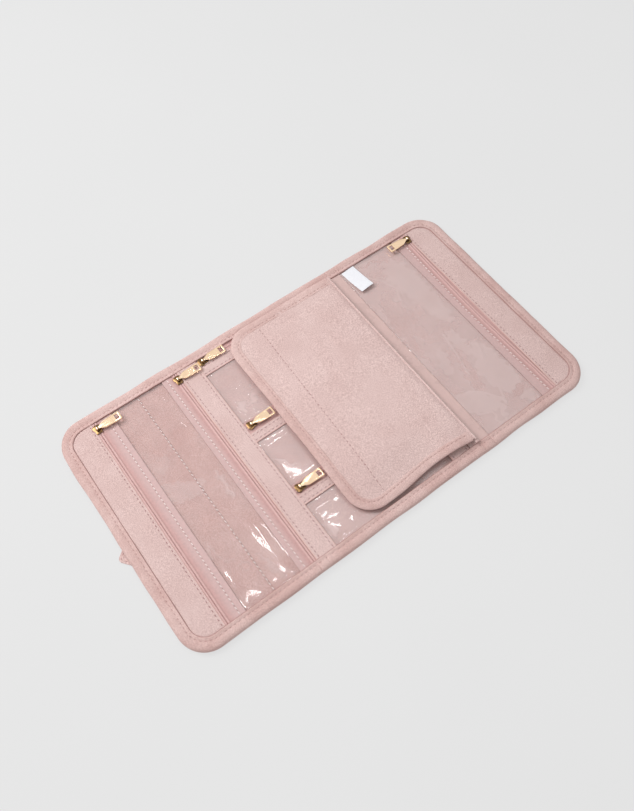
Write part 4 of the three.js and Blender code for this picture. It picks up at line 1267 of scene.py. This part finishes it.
def strip_surface(long0, long1, edge0, edge1, rows, heading, high, cut):
    """Strip of folded suede: a flat section with rounded edges, a small roll along each, a groove at each row
    of stitches and a slight swell between rows, carried along the strip. An edge in cut is square. Gives the
    surface, and 1 for each side of the section that is a folded edge."""
    span = edge1 - edge0
    inside = [row - edge0 for row in rows]

    def edge(at):
        return np.minimum(FAR if 0 in cut else at, FAR if 1 in cut else span - at)

    def at_rows(at, width):
        return sum(bell(at, row, width) for row in inside) if inside else 0 * at

    near = np.concatenate([*(row + NEAR_ROW for row in inside), NEAR_EDGE, span - NEAR_EDGE])
    near = near[(near > 0.4) & (near < span - 0.4)]
    at = np.unique(np.round(np.concatenate([spaced(0, span, 1.2, SUEDE_RIM), near]), 3))
    share = rounding(edge(at), SUEDE_RIM)
    middle, thick = (SUEDE_LOW + high) / 2, (high - SUEDE_LOW) / 2
    top = middle + thick * share + 0.12 * bell(edge(at), 0.7, 0.5) - 0.06 * at_rows(at, 0.55)
    bottom = middle - thick * share
    under = slice(None, None, -1) if cut else slice(-2, 0, -1)
    section = np.stack([np.concatenate([at, at[under]]), np.concatenate([top, bottom[under]])], axis=1)
    line, inward = lane(heading, edge0, long0, long1)
    across, height = carried(line, section)
    x, y = places(line, inward, across)
    upper = np.arange(len(section)) < len(at)
    dip = at_rows(section[:, 0], 0.9) * dips(line, 1) * sizes().pucker / MM
    height = height + upper * (dip + 0.07 * ripple(x, y, *STRIP_RIPPLE))
    return tube(line, inward, across, height), (edge(section[:, 0]) < FOLDED_EDGE).astype(int)


def sewn_height(depth, wavelength, seed):
    """A function for the height of stitches that lie on a strip's rippled face."""
    return lambda x, y: SUEDE_HIGH - 0.04 + depth * ripple(x, y, wavelength, seed)


def suede_strip(name, long0, long1, edge0, edge1, rows, heading, cut=(), looks=SUEDE_FINISHES, high=SUEDE_HIGH):
    """A strip with its folded edges and its rows of stitches, ready to be carried by a body."""
    piece = Piece(name, *looks, "rose_thread")
    surface, edges = strip_surface(long0, long1, edge0, edge1, rows, heading, high, cut)
    piece.add(surface, columns=edges)
    for row in rows:
        line = lane(heading, row, long0 + ROW_INSET, long1 - ROW_INSET)[0]
        piece.add(stitches(line, sewn_height(0.07, *STRIP_RIPPLE), seed=int(abs(row) * 7)), finish=2)
    return piece


def end_strip(name, body, node_name, start):
    """Suede that fills a panel's round end: one edge along the zip with a row of stitches, the rest tucked
    under the binding."""
    side = np.sign(start)
    outer = side * (CASE_END - BINDING_INNER + 0.7)
    half, radius = INNER_HALF + STRIP_PAST, CORNER_RADIUS - BINDING_INNER + STRIP_PAST
    xs = np.concatenate([spaced(0, abs(outer - start), 1.2, SUEDE_RIM), STRIP_ROW + NEAR_ROW, NEAR_EDGE])
    xs = start + side * np.unique(np.round(xs, 3))
    x, y, tucked = fanned(xs, half_reach(xs, outer, half, radius), half, STEP, SUEDE_RIM)
    open_edge = np.abs(x - start)
    tucked = np.minimum(np.abs(outer - x), tucked)
    share = rounding(np.minimum(open_edge, tucked), SUEDE_RIM)
    middle, thick = (SUEDE_LOW + SUEDE_HIGH) / 2, (SUEDE_HIGH - SUEDE_LOW) / 2
    count = int((2 * INNER_HALF - 1) / (sizes().stitch_pitch / MM))
    phase = np.cos(np.pi * count * (y / INNER_HALF + 1))
    wave = 0.08 * ripple(x, y, *END_RIPPLE) + 0.14 * smooth(open_edge, 3, 10) * smooth(tucked, 0, 8)
    roll = 0.12 * bell(open_edge, 0.7, 0.5) - 0.06 * bell(open_edge, STRIP_ROW, 0.55)
    dip = bell(open_edge, STRIP_ROW, 0.9) * phase * sizes().pucker / MM
    sunk = 0.5 * (1 - smooth(tucked, 0.3, 2.2))
    top = middle + thick * share + share * (wave + roll + dip - sunk)
    bottom = middle - thick * share
    points, faces = slab(x, y, bottom, np.maximum(top, bottom))
    finishes = np.zeros(len(faces[0]), int)
    finishes[: int(np.sum(np.abs(xs[1:] - start) < FOLDED_EDGE)) * (y.shape[1] - 1)] = 1
    piece = Piece(name, *SUEDE_FINISHES, "rose_thread").add((points, faces), columns=finishes)
    line = lane("y", start + side * STRIP_ROW, STRIP_PAST - INNER_HALF, INNER_HALF - STRIP_PAST)[0]
    piece.add(stitches(line, sewn_height(0.08, *END_RIPPLE), seed=63), finish=2)
    return piece.ride(body, "suede", [node_name])


def make_strips():
    """Suede strips: both round ends, the spines in two bent halves each, the pockets and the fold."""
    end_strip("left_end_suede", "left_panel", "left_end_strip", LEFT_OUTER_SLIT - SLIT_GAP)
    end_strip("right_end_suede", "right_panel", "right_end_strip", RIGHT_SLIT + SLIT_GAP)
    long0, long1 = -INNER_HALF - STRIP_PAST, INNER_HALF + STRIP_PAST
    left_outer, left_inner = LEFT_SPINE_STRIP
    right_inner, right_outer = RIGHT_SPINE_STRIP
    left, right = ["left_spine_strip"], ["right_spine_strip"]
    for name, where, x0, x1, rows, cut, nodes in (
        ("left_spine_suede_outer", "left_panel_bend", left_outer, LEFT_SPINE_MIDDLE, SPINE_ROWS["outer"], 1, left),
        ("left_spine_suede_inner", "left_centre_bend", LEFT_SPINE_MIDDLE, left_inner, SPINE_ROWS["inner"], 0, []),
        ("right_spine_film_inner", "right_centre_bend", right_inner, RIGHT_SPINE_MIDDLE, (), 1, right),
        ("right_spine_film_outer", "right_panel_bend", RIGHT_SPINE_MIDDLE, right_outer, (), 0, []),
    ):
        looks = (SUEDE_FINISHES, SUEDE_HIGH) if rows else (("spine_film", "spine_film"), SUEDE_HIGH - 0.5)
        suede_strip(name, long0, long1, x0, x1, rows, "y", (cut,), *looks).bend(where, "suede", nodes)
    x0, x1 = FOLD_STRIP
    for letter, (y0, y1) in POCKET_STRIPS.items():
        rows = (y0 + STRIP_FRONT_ROW, y1 - STRIP_ROW)
        piece = suede_strip(f"pocket_{letter}_suede", LEFT_CENTRE_CREASE + 0.2, x0 - 0.3, y0, y1, rows, "x")
        piece.ride("centre", "suede", [f"pocket_{letter}_strip"])
    piece = suede_strip("fold_suede", long0, long1, x0, x1, (x0 + STRIP_ROW, x1 - STRIP_ROW), "y")
    piece.ride("centre", "suede", ["centre_fold_strip"])


# Flap: its outline and hinge, the heights of its back and its face, how far those lie inside the binding's
# edge, their rounding, and how far the body seam stays inside the ends

FLAP_FREE = corner("flap_binding", 0, 0) - CASE_MIDDLE
FLAP_FRONT = corner("flap_binding", 0, 1)
FLAP_BACK = corner("flap_binding", 1, 1)
FLAP_HINGE = joint("flap_lift", 0) - CASE_MIDDLE
FLAP_HINGE_Z = 11.65
FLAP_BACK_LOW = 10.78
FLAP_BACK_HIGH = 11.6
FLAP_FACE_LOW = 11.75
FLAP_FACE_HIGH = 12.52
FLAP_INSET = 1.0
FLAP_RIM = 0.4
FLAP_SEAM_INSET = 10.4
HINGE_RADIUS = 1.2
FLAP_MIDDLE_Y = (FLAP_FRONT + FLAP_BACK) / 2
FLAP_HALF = (FLAP_BACK - FLAP_FRONT) / 2


def flap_lift(x, y):
    """How far the flap stands above its plain place: a slow wander that fades at the hinge, a rise of the
    front edge near the hinge and a droop of the rest of that edge."""
    away = smooth(FLAP_HINGE - x, 6, 40)
    front = bell(x, 64, 13) * smooth(-y, 62, 106)
    droop = 2.8 * smooth(-y, 60, 104) * smooth(66 - x, 0, 44)
    raised = sizes().flap_lift / MM * front * smooth(FLAP_HINGE - x, 2, 16)
    return -droop + away * 0.16 * ripple(x, y, 95, 71) + raised


def bowed(points):
    """Points of the flap with its front edge drawn in along the middle, as a bell of x that grows to the front."""
    moved = points.copy()
    moved[:, 1] += 4.0 * bell(points[:, 0], 38, 34) * smooth(-points[:, 1], 55, 107)
    return moved


def flap_row_x(y):
    """Place of the flap's body seam, which leans a little from front to back."""
    return -7.9 + 0.03 * y


def flap_face_height(x, y):
    """Upper face of the flap: flat at the binding, crowned inside it, with a groove along the body seam."""
    reach = np.minimum(x - FLAP_FREE, FLAP_HALF - np.abs(y - FLAP_MIDDLE_Y))
    crown = sizes().flap_crown / MM * smooth(reach, 8.5, 34)
    seam = bell(x, flap_row_x(y), 0.9) * smooth(reach, 9, 12)
    hinge = smooth(x, FLAP_HINGE - 6, FLAP_HINGE + 0.6)
    wave = 0.05 * ripple(x, y, 17, 72)
    return FLAP_FACE_HIGH + crown * (1 - hinge) + wave - 0.3 * seam - 0.85 * hinge**2 + flap_lift(x, y)


def flap_grid(end_x, step):
    """Grid of places over the flap from its free edge to end_x, a little inside its outline, and the share of
    its thickness that it has there."""
    free, radius = FLAP_FREE + FLAP_INSET, FLAP_RADIUS - FLAP_INSET
    xs = spaced(free, end_x, step, FLAP_RIM)
    reach = rounded_reach(radius - (xs - free), FLAP_HALF - FLAP_INSET, radius)
    x, y, side = fanned(xs, reach, FLAP_HALF, step, FLAP_RIM)
    return x, y + FLAP_MIDDLE_Y, rounding(np.minimum(np.minimum(x - free, end_x - x), side), FLAP_RIM)


def make_flap():
    """Flap: face, back with the rolled hinge, binding on three sides, seam, and the sewn root on the centre."""
    x, y, share = flap_grid(FLAP_HINGE + 0.5, 1.4)
    low = FLAP_FACE_LOW + flap_lift(x, y)
    high = np.maximum(flap_face_height(x, y), low + 0.1)
    piece = Piece("flap_upper_suede", "blush_suede", "rose_thread")
    piece.add(drawn_in(x, y, low, (low + high) / 2, high, share))
    ys = np.linspace(FLAP_FRONT + FLAP_SEAM_INSET, FLAP_BACK - FLAP_SEAM_INSET, 280)
    line = np.stack([flap_row_x(ys), ys], axis=1)
    piece.add(stitches(line, lambda sx, sy: flap_face_height(sx, sy) + 0.06, seed=73), finish=1)
    piece.warp(bowed).ride("flap", "suede", ["flap_face"])

    x, y, share = flap_grid(FLAP_HINGE - 0.6, 2.5)
    lift = flap_lift(x, y)
    low, high = FLAP_BACK_LOW + lift + 0.03 * ripple(x, y, 25, 74), FLAP_BACK_HIGH + lift
    piece = Piece("flap_lower_suede", "blush_suede").add(drawn_in(x, y, low, (low + high) / 2, high, share))
    angle = np.linspace(0, 2 * np.pi, 25)[:-1]
    line, inward = lane("y", FLAP_HINGE, FLAP_FRONT + 0.1, FLAP_BACK - 0.1, step=1.5)
    from_end = np.minimum(line[:, 1:] - FLAP_FRONT, FLAP_BACK - line[:, 1:])
    radius = HINGE_RADIUS * (1 - 0.6 * (1 - rounding(from_end, HINGE_RADIUS)))
    piece.add(tube(line, inward, radius * np.cos(angle), FLAP_HINGE_Z + radius * np.sin(angle)))
    piece.warp(bowed).ride("flap", "suede", ["flap_back"])

    line, inward = round_path(FLAP_HINGE - 3.0, FLAP_FREE, FLAP_FRONT, FLAP_BACK, FLAP_RADIUS)
    across, height = binding_heights(line, inward, FLAP_SECTION, FLAP_ROW, flap_lift)
    piece = Piece("flap_edge_tape", "binding_suede", "edge_thread").add(tube(line, inward, across, height))
    path, height_at = binding_row(line, inward, height, FLAP_SECTION, FLAP_ROW, 12, 0.04)
    piece.add(stitches(path[3:-3], height_at, seed=75), finish=1)
    piece.warp(bowed).ride("flap", "binding", ["flap_binding"])
    make_flap_root()


def make_flap_root():
    """Sewn root of the flap: a foot on the centre and a wall with a rounded top that the hinge lies on."""
    low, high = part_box("flap_root")
    x0, x1 = low.x / MM - CASE_MIDDLE, high.x / MM - CASE_MIDDLE
    z0, z1 = low.z / MM, high.z / MM
    wall = x1 - 4.4
    section = [(x0, z0), (x1, z0), (x1, z1 - 1.2), (x1 - 0.35, z1 - 0.35), (x1 - 1.2, z1), (wall + 1.2, z1)]
    section += [(wall + 0.35, z1 - 0.35), (wall, z1 - 1.2), (wall - 0.1, 7.2), (wall - 0.7, 6.45)]
    section = np.array([*section, (wall - 1.8, SUEDE_HIGH), (x0, SUEDE_HIGH)])
    line, inward = lane("y", 0, -INNER_HALF, INNER_HALF, step=1.5)
    across, height = carried(line, section)
    wave = 0.06 * ripple(line[:, :1] + 80, line[:, 1:], 20, 76)
    piece = Piece("flap_sewn_root", "blush_suede").add(tube(line, inward, across, height + wave * (height > 5)))
    piece.ride("centre", "suede", ["flap_root"])


# Label and strap

LABEL_FLAT = (15.0, 30.0)


def make_label():
    """Label: a strip of white satin that lies on the film, sewn at its back end, with its free end lifting
    as a square of the distance from the seam."""
    (width, reach), lean, half = LABEL_FLAT, 0.085, 0.13
    root = np.array([RIGHT_PANEL_CREASE + 0.15 + 1.4, INNER_HALF - 0.3 - lean * width])
    us, vs = spaced(0, width, 1.0, 0.12, 3), spaced(0, reach, 1.0, 0.12, 3)
    u, v = np.meshgrid(us, vs, indexing="ij")
    x = root[0] + u * np.cos(lean) + v * np.sin(lean)
    y = root[1] + u * np.sin(lean) - v * np.cos(lean)
    rise = TAPE_HIGH + 0.1 + 2.2 * (v / reach) ** 2 + 0.25 * np.sin(np.pi * u / width) * (v / reach)
    share = rounding(np.minimum(np.minimum(u, width - u), np.minimum(v, reach - v)), 0.12)
    piece = Piece("label_strip", "label_satin", "pale_thread")
    piece.add(slab(x, y, rise + half - half * share, rise + half + half * share))
    made = piece.ride("right_panel", "label", ["care_label"])


def strap_place(u, v):
    """X and y of places along and across the strap, which is turned and lies under the left end."""
    cosine, sine = np.cos(STRAP_TURN), np.sin(STRAP_TURN)
    return STRAP_ROOT[0] + u * cosine - v * sine, STRAP_ROOT[1] + u * sine + v * cosine


def strap_slab(u0, u1, radius):
    """Sheet of folded suede between two places along the strap, with rounded corners at the first, rounded
    edges and a groove along its stitches."""
    half, low = STRAP_WIDTH / 2, 0.06
    us = spaced(u0, u1, 0.8, 0.3)
    u, v, side = fanned(us, rounded_reach(radius - (us - u0), half, radius), half, 0.8, 0.3)
    edge = np.minimum(np.minimum(u - u0, u1 - u), side)
    top = STRAP_TOP - 0.13 * bell(edge, STRAP_ROW, 0.5)
    return drawn_in(*strap_place(u, v), low, (STRAP_TOP + low) / 2, top, rounding(edge, 0.3))


def make_strap():
    """Closure strap, turned under the left end so that one corner shows, and the end sewn to the case."""
    piece = Piece("strap_suede", "blush_suede", "rose_thread").add(strap_slab(-STRAP_LENGTH, 0, STRAP_RADIUS))
    half, inner = STRAP_WIDTH / 2 - STRAP_ROW, STRAP_RADIUS - STRAP_ROW
    turn = -STRAP_LENGTH + STRAP_ROW + inner
    angle = np.linspace(0, np.pi / 2, 8)
    near, far = inner * np.sin(angle), inner * np.cos(angle)
    row = (
        straight(-ROW_INSET, -half, turn, -half),
        np.stack([turn - near, -half + inner - far], axis=1),
        np.stack([turn - far, half - inner + near], axis=1),
        straight(turn, half, -ROW_INSET, half),
    )
    line = np.stack(strap_place(*np.concatenate(row).T), axis=1)
    piece.add(stitches(line, level(0.98), seed=81), finish=1)
    piece.ride("closure_strap", "suede", ["closure_strap"])
    piece = Piece("strap_root_suede", "blush_suede").add(strap_slab(*STRAP_SEWN, 0))
    piece.ride("left_panel", "suede", ["strap_sewn_end"])


# Stage


CAMERA = (-184.69, -251.32, 615.47)
CAMERA_RIGHT = (0.80474, -0.59345, -0.01057)
CAMERA_UP = (0.53183, 0.71302, 0.45701)
CAMERA_BACK = (-0.26365, -0.37344, 0.8894)
LAMP_REACH = 300
FLOOR_REACH = 9.0


def facing(place, right, up, back):
    """Matrix of a lamp or camera at a place, whose right, up and back directions are given."""
    return Matrix([[right[k], up[k], back[k], place[k]] for k in range(3)] + [[0, 0, 0, 1]])


def area_lamp(name, power, size, place, toward, along=(1, 0, 0), size_y=None):
    """An area lamp that faces a place, turned so that its length runs in the given direction."""
    lamp = bpy.data.lights.new(name, "AREA")
    lamp.energy, lamp.size = power, size
    if size_y:
        lamp.shape, lamp.size_y = "RECTANGLE", size_y
    back = (Vector(place) - Vector(toward)).normalized()
    side = Vector(along)
    side = (side - side.dot(back) * back).normalized()
    linked(name, lamp).matrix_world = facing(place, side, back.cross(side), back)


def studio_floor(rgb, backdrop):
    """Pale floor. A share of what the camera sees of it is evenly lit, and the rest keeps the shadows."""
    made, tree, shader, at = started("studio_floor", {"Specular IOR Level": 0.1, "Roughness": 0.95})
    base = mixed(tree, ranged(tree, noise(tree, at, 3, 2), 0.3, 0.7), toned(rgb, 0.995), toned(rgb, 1.005))
    connect(tree, shader, base)
    even = node(tree, "ShaderNodeEmission", {"Color": base})
    ray = node(tree, "ShaderNodeLightPath").outputs
    seen = added(tree, ray["Is Camera Ray"], ray["Is Glossy Ray"], 1)
    seen = added(tree, seen, ray["Is Transmission Ray"], 1)
    share = node(tree, "ShaderNodeMath", {0: seen, 1: backdrop}, operation="MULTIPLY", use_clamp=True).outputs[0]
    mix = node(tree, "ShaderNodeMixShader", {0: share, 1: shader.outputs[0], 2: even.outputs[0]})
    tree.links.new(mix.outputs[0], tree.nodes["Material Output"].inputs["Surface"])
    return made


def studio_sky(rgb, strength):
    """Even sky that looks like the floor to the camera. Gloss sees it at full strength, so that colours mirror
    as written, and darker at the horizon."""
    world = bpy.data.worlds.new("studio_sky")
    world.use_nodes = True
    tree = world.node_tree
    direction = node(tree, "ShaderNodeTexCoord").outputs["Generated"]
    height = node(tree, "ShaderNodeSeparateXYZ", {"Vector": direction}).outputs["Z"]
    glow = mixed(tree, ranged(tree, height, 0.05, 0.7), (0.14, 0.12, 0.11, 1), (1.02, 1.02, 1.03, 1))
    ray = node(tree, "ShaderNodeLightPath").outputs
    seen = added(tree, ray["Is Glossy Ray"], ray["Is Transmission Ray"], 1)
    glow = mixed(tree, seen, (1, 1, 1, 1), glow)
    glow = mixed(tree, ray["Is Camera Ray"], glow, toned(rgb, 1))
    seen = added(tree, seen, ray["Is Camera Ray"], 1)
    level_from = node(tree, "ShaderNodeMath", {0: seen, 1: 1 - strength, 2: strength}, operation="MULTIPLY_ADD")
    background = tree.nodes["Background"]
    tree.links.new(glow, background.inputs["Color"])
    tree.links.new(level_from.outputs[0], background.inputs["Strength"])
    return world


def make_stage():
    """Pale floor, even sky, a softbox behind the case, strip lamps that glint in the film, and the
    photograph's camera."""
    scene = bpy.context.scene
    light, floor_colour = scene.sleeve_light, scene.sleeve_colours.floor
    mesh = bpy.data.meshes.new("studio_floor")
    r = FLOOR_REACH
    mesh.from_pydata([(-r, -r, 0), (r, -r, 0), (r, r, 0), (-r, r, 0)], [], [(0, 1, 2, 3)])
    mesh.materials.append(studio_floor(floor_colour, light.backdrop))
    floor = linked("studio_floor", mesh)
    scene.world = studio_sky(floor_colour, light.sky)

    area_lamp("softbox", light.key, 0.7, (-0.57, 0.74, 1.05), (0, 0, 0))
    for number, ((x, y), long, wide, (dx, dy)) in enumerate(GLINTS):
        spot = Vector((x + CASE_MIDDLE, y, FILM_REST))
        mirrored = Vector((CAMERA[0], CAMERA[1], 2 * FILM_REST - CAMERA[2]))
        ray = spot - mirrored
        grown = (ray.length + LAMP_REACH) / ray.length
        place = (spot + ray.normalized() * LAMP_REACH) * MM
        long, wide = long * grown * MM, wide * grown * MM
        power = light.glint * np.pi * long * wide
        area_lamp(f"glint_lamp_{number + 1}", power, long, place, spot * MM, (dx, dy, 0), wide)

    data = bpy.data.cameras.new("photo_camera")
    data.lens, data.sensor_width, data.sensor_fit = 33.845, 36.0, "AUTO"
    data.clip_start, data.clip_end = 0.01, 50
    camera = linked("photo_camera", data)
    camera.matrix_world = facing([c * MM for c in CAMERA], CAMERA_RIGHT, CAMERA_UP, CAMERA_BACK)
    scene.camera = camera
    scene.view_settings.view_transform = "Standard"


# Operators, panel and registration


def operator(idname, label, text, make):
    """An operator that runs one of the functions above."""

    def execute(self, context):
        make()
        return {"FINISHED"}

    members = {"bl_idname": "sleeve." + idname, "bl_label": label, "bl_options": {"REGISTER", "UNDO"}}
    return type("SLEEVE_OT_" + idname, (bpy.types.Operator,), {**members, "__doc__": text, "execute": execute})


OPERATORS = [
    operator("covers", "Outer suede", "Make the outer cover, with the lengths that bend at the folds", make_covers),
    operator("linings", "Linings", "Make the padded linings", make_linings),
    operator("windows", "Clear film", "Make the clear film of the five pockets", make_windows),
    operator("zip_tapes", "Zip tapes", "Make the twelve zip tapes", make_zip_tapes),
    operator("strips", "Suede strips", "Make the suede strips beside the zips and folds", make_strips),
    operator("bindings", "Bindings", "Make the binding round the case", make_bindings),
    operator("flap", "Flap", "Make the flap and its sewn root", make_flap),
    operator("metal", "Sliders and pulls", "Make the gold sliders and pulls", make_metal),
    operator("label", "Label", "Make the white label", make_label),
    operator("strap", "Closure strap", "Make the strap and its sewn end", make_strap),
    operator("stage", "Stage", "Make the floor, the light and the camera", make_stage),
]


class SLEEVE_PT_panel(bpy.types.Panel):
    """The sleeve's makers, sizes, colours and light."""

    bl_label = "Jewelry Sleeve"
    bl_idname = "SLEEVE_PT_panel"
    bl_space_type = "VIEW_3D"
    bl_region_type = "UI"
    bl_category = "Sleeve"

    def draw(self, context):
        for made in OPERATORS:
            self.layout.operator(made.bl_idname)
        for group in (context.scene.sleeve_sizes, context.scene.sleeve_colours, context.scene.sleeve_light):
            box = self.layout.box()
            for name in group.__annotations__:
                box.prop(group, name)


CLASSES = [SleeveSizes, SleeveColours, SleeveLight, *OPERATORS, SLEEVE_PT_panel]


def register():
    """Adds the classes and the scene's settings."""
    for made in CLASSES:
        bpy.utils.register_class(made)
    bpy.types.Scene.sleeve_sizes = PointerProperty(type=SleeveSizes)
    bpy.types.Scene.sleeve_colours = PointerProperty(type=SleeveColours)
    bpy.types.Scene.sleeve_light = PointerProperty(type=SleeveLight)


def unregister():
    """Takes them away again."""
    del bpy.types.Scene.sleeve_light, bpy.types.Scene.sleeve_colours, bpy.types.Scene.sleeve_sizes
    for made in reversed(CLASSES):
        bpy.utils.unregister_class(made)


def main():
    """Registers the classes, makes every piece in order and writes the two boxes."""
    register()
    for made in OPERATORS:
        getattr(bpy.ops.sleeve, made.bl_idname.split(".")[1])()


if __name__ == "__main__":
    main()
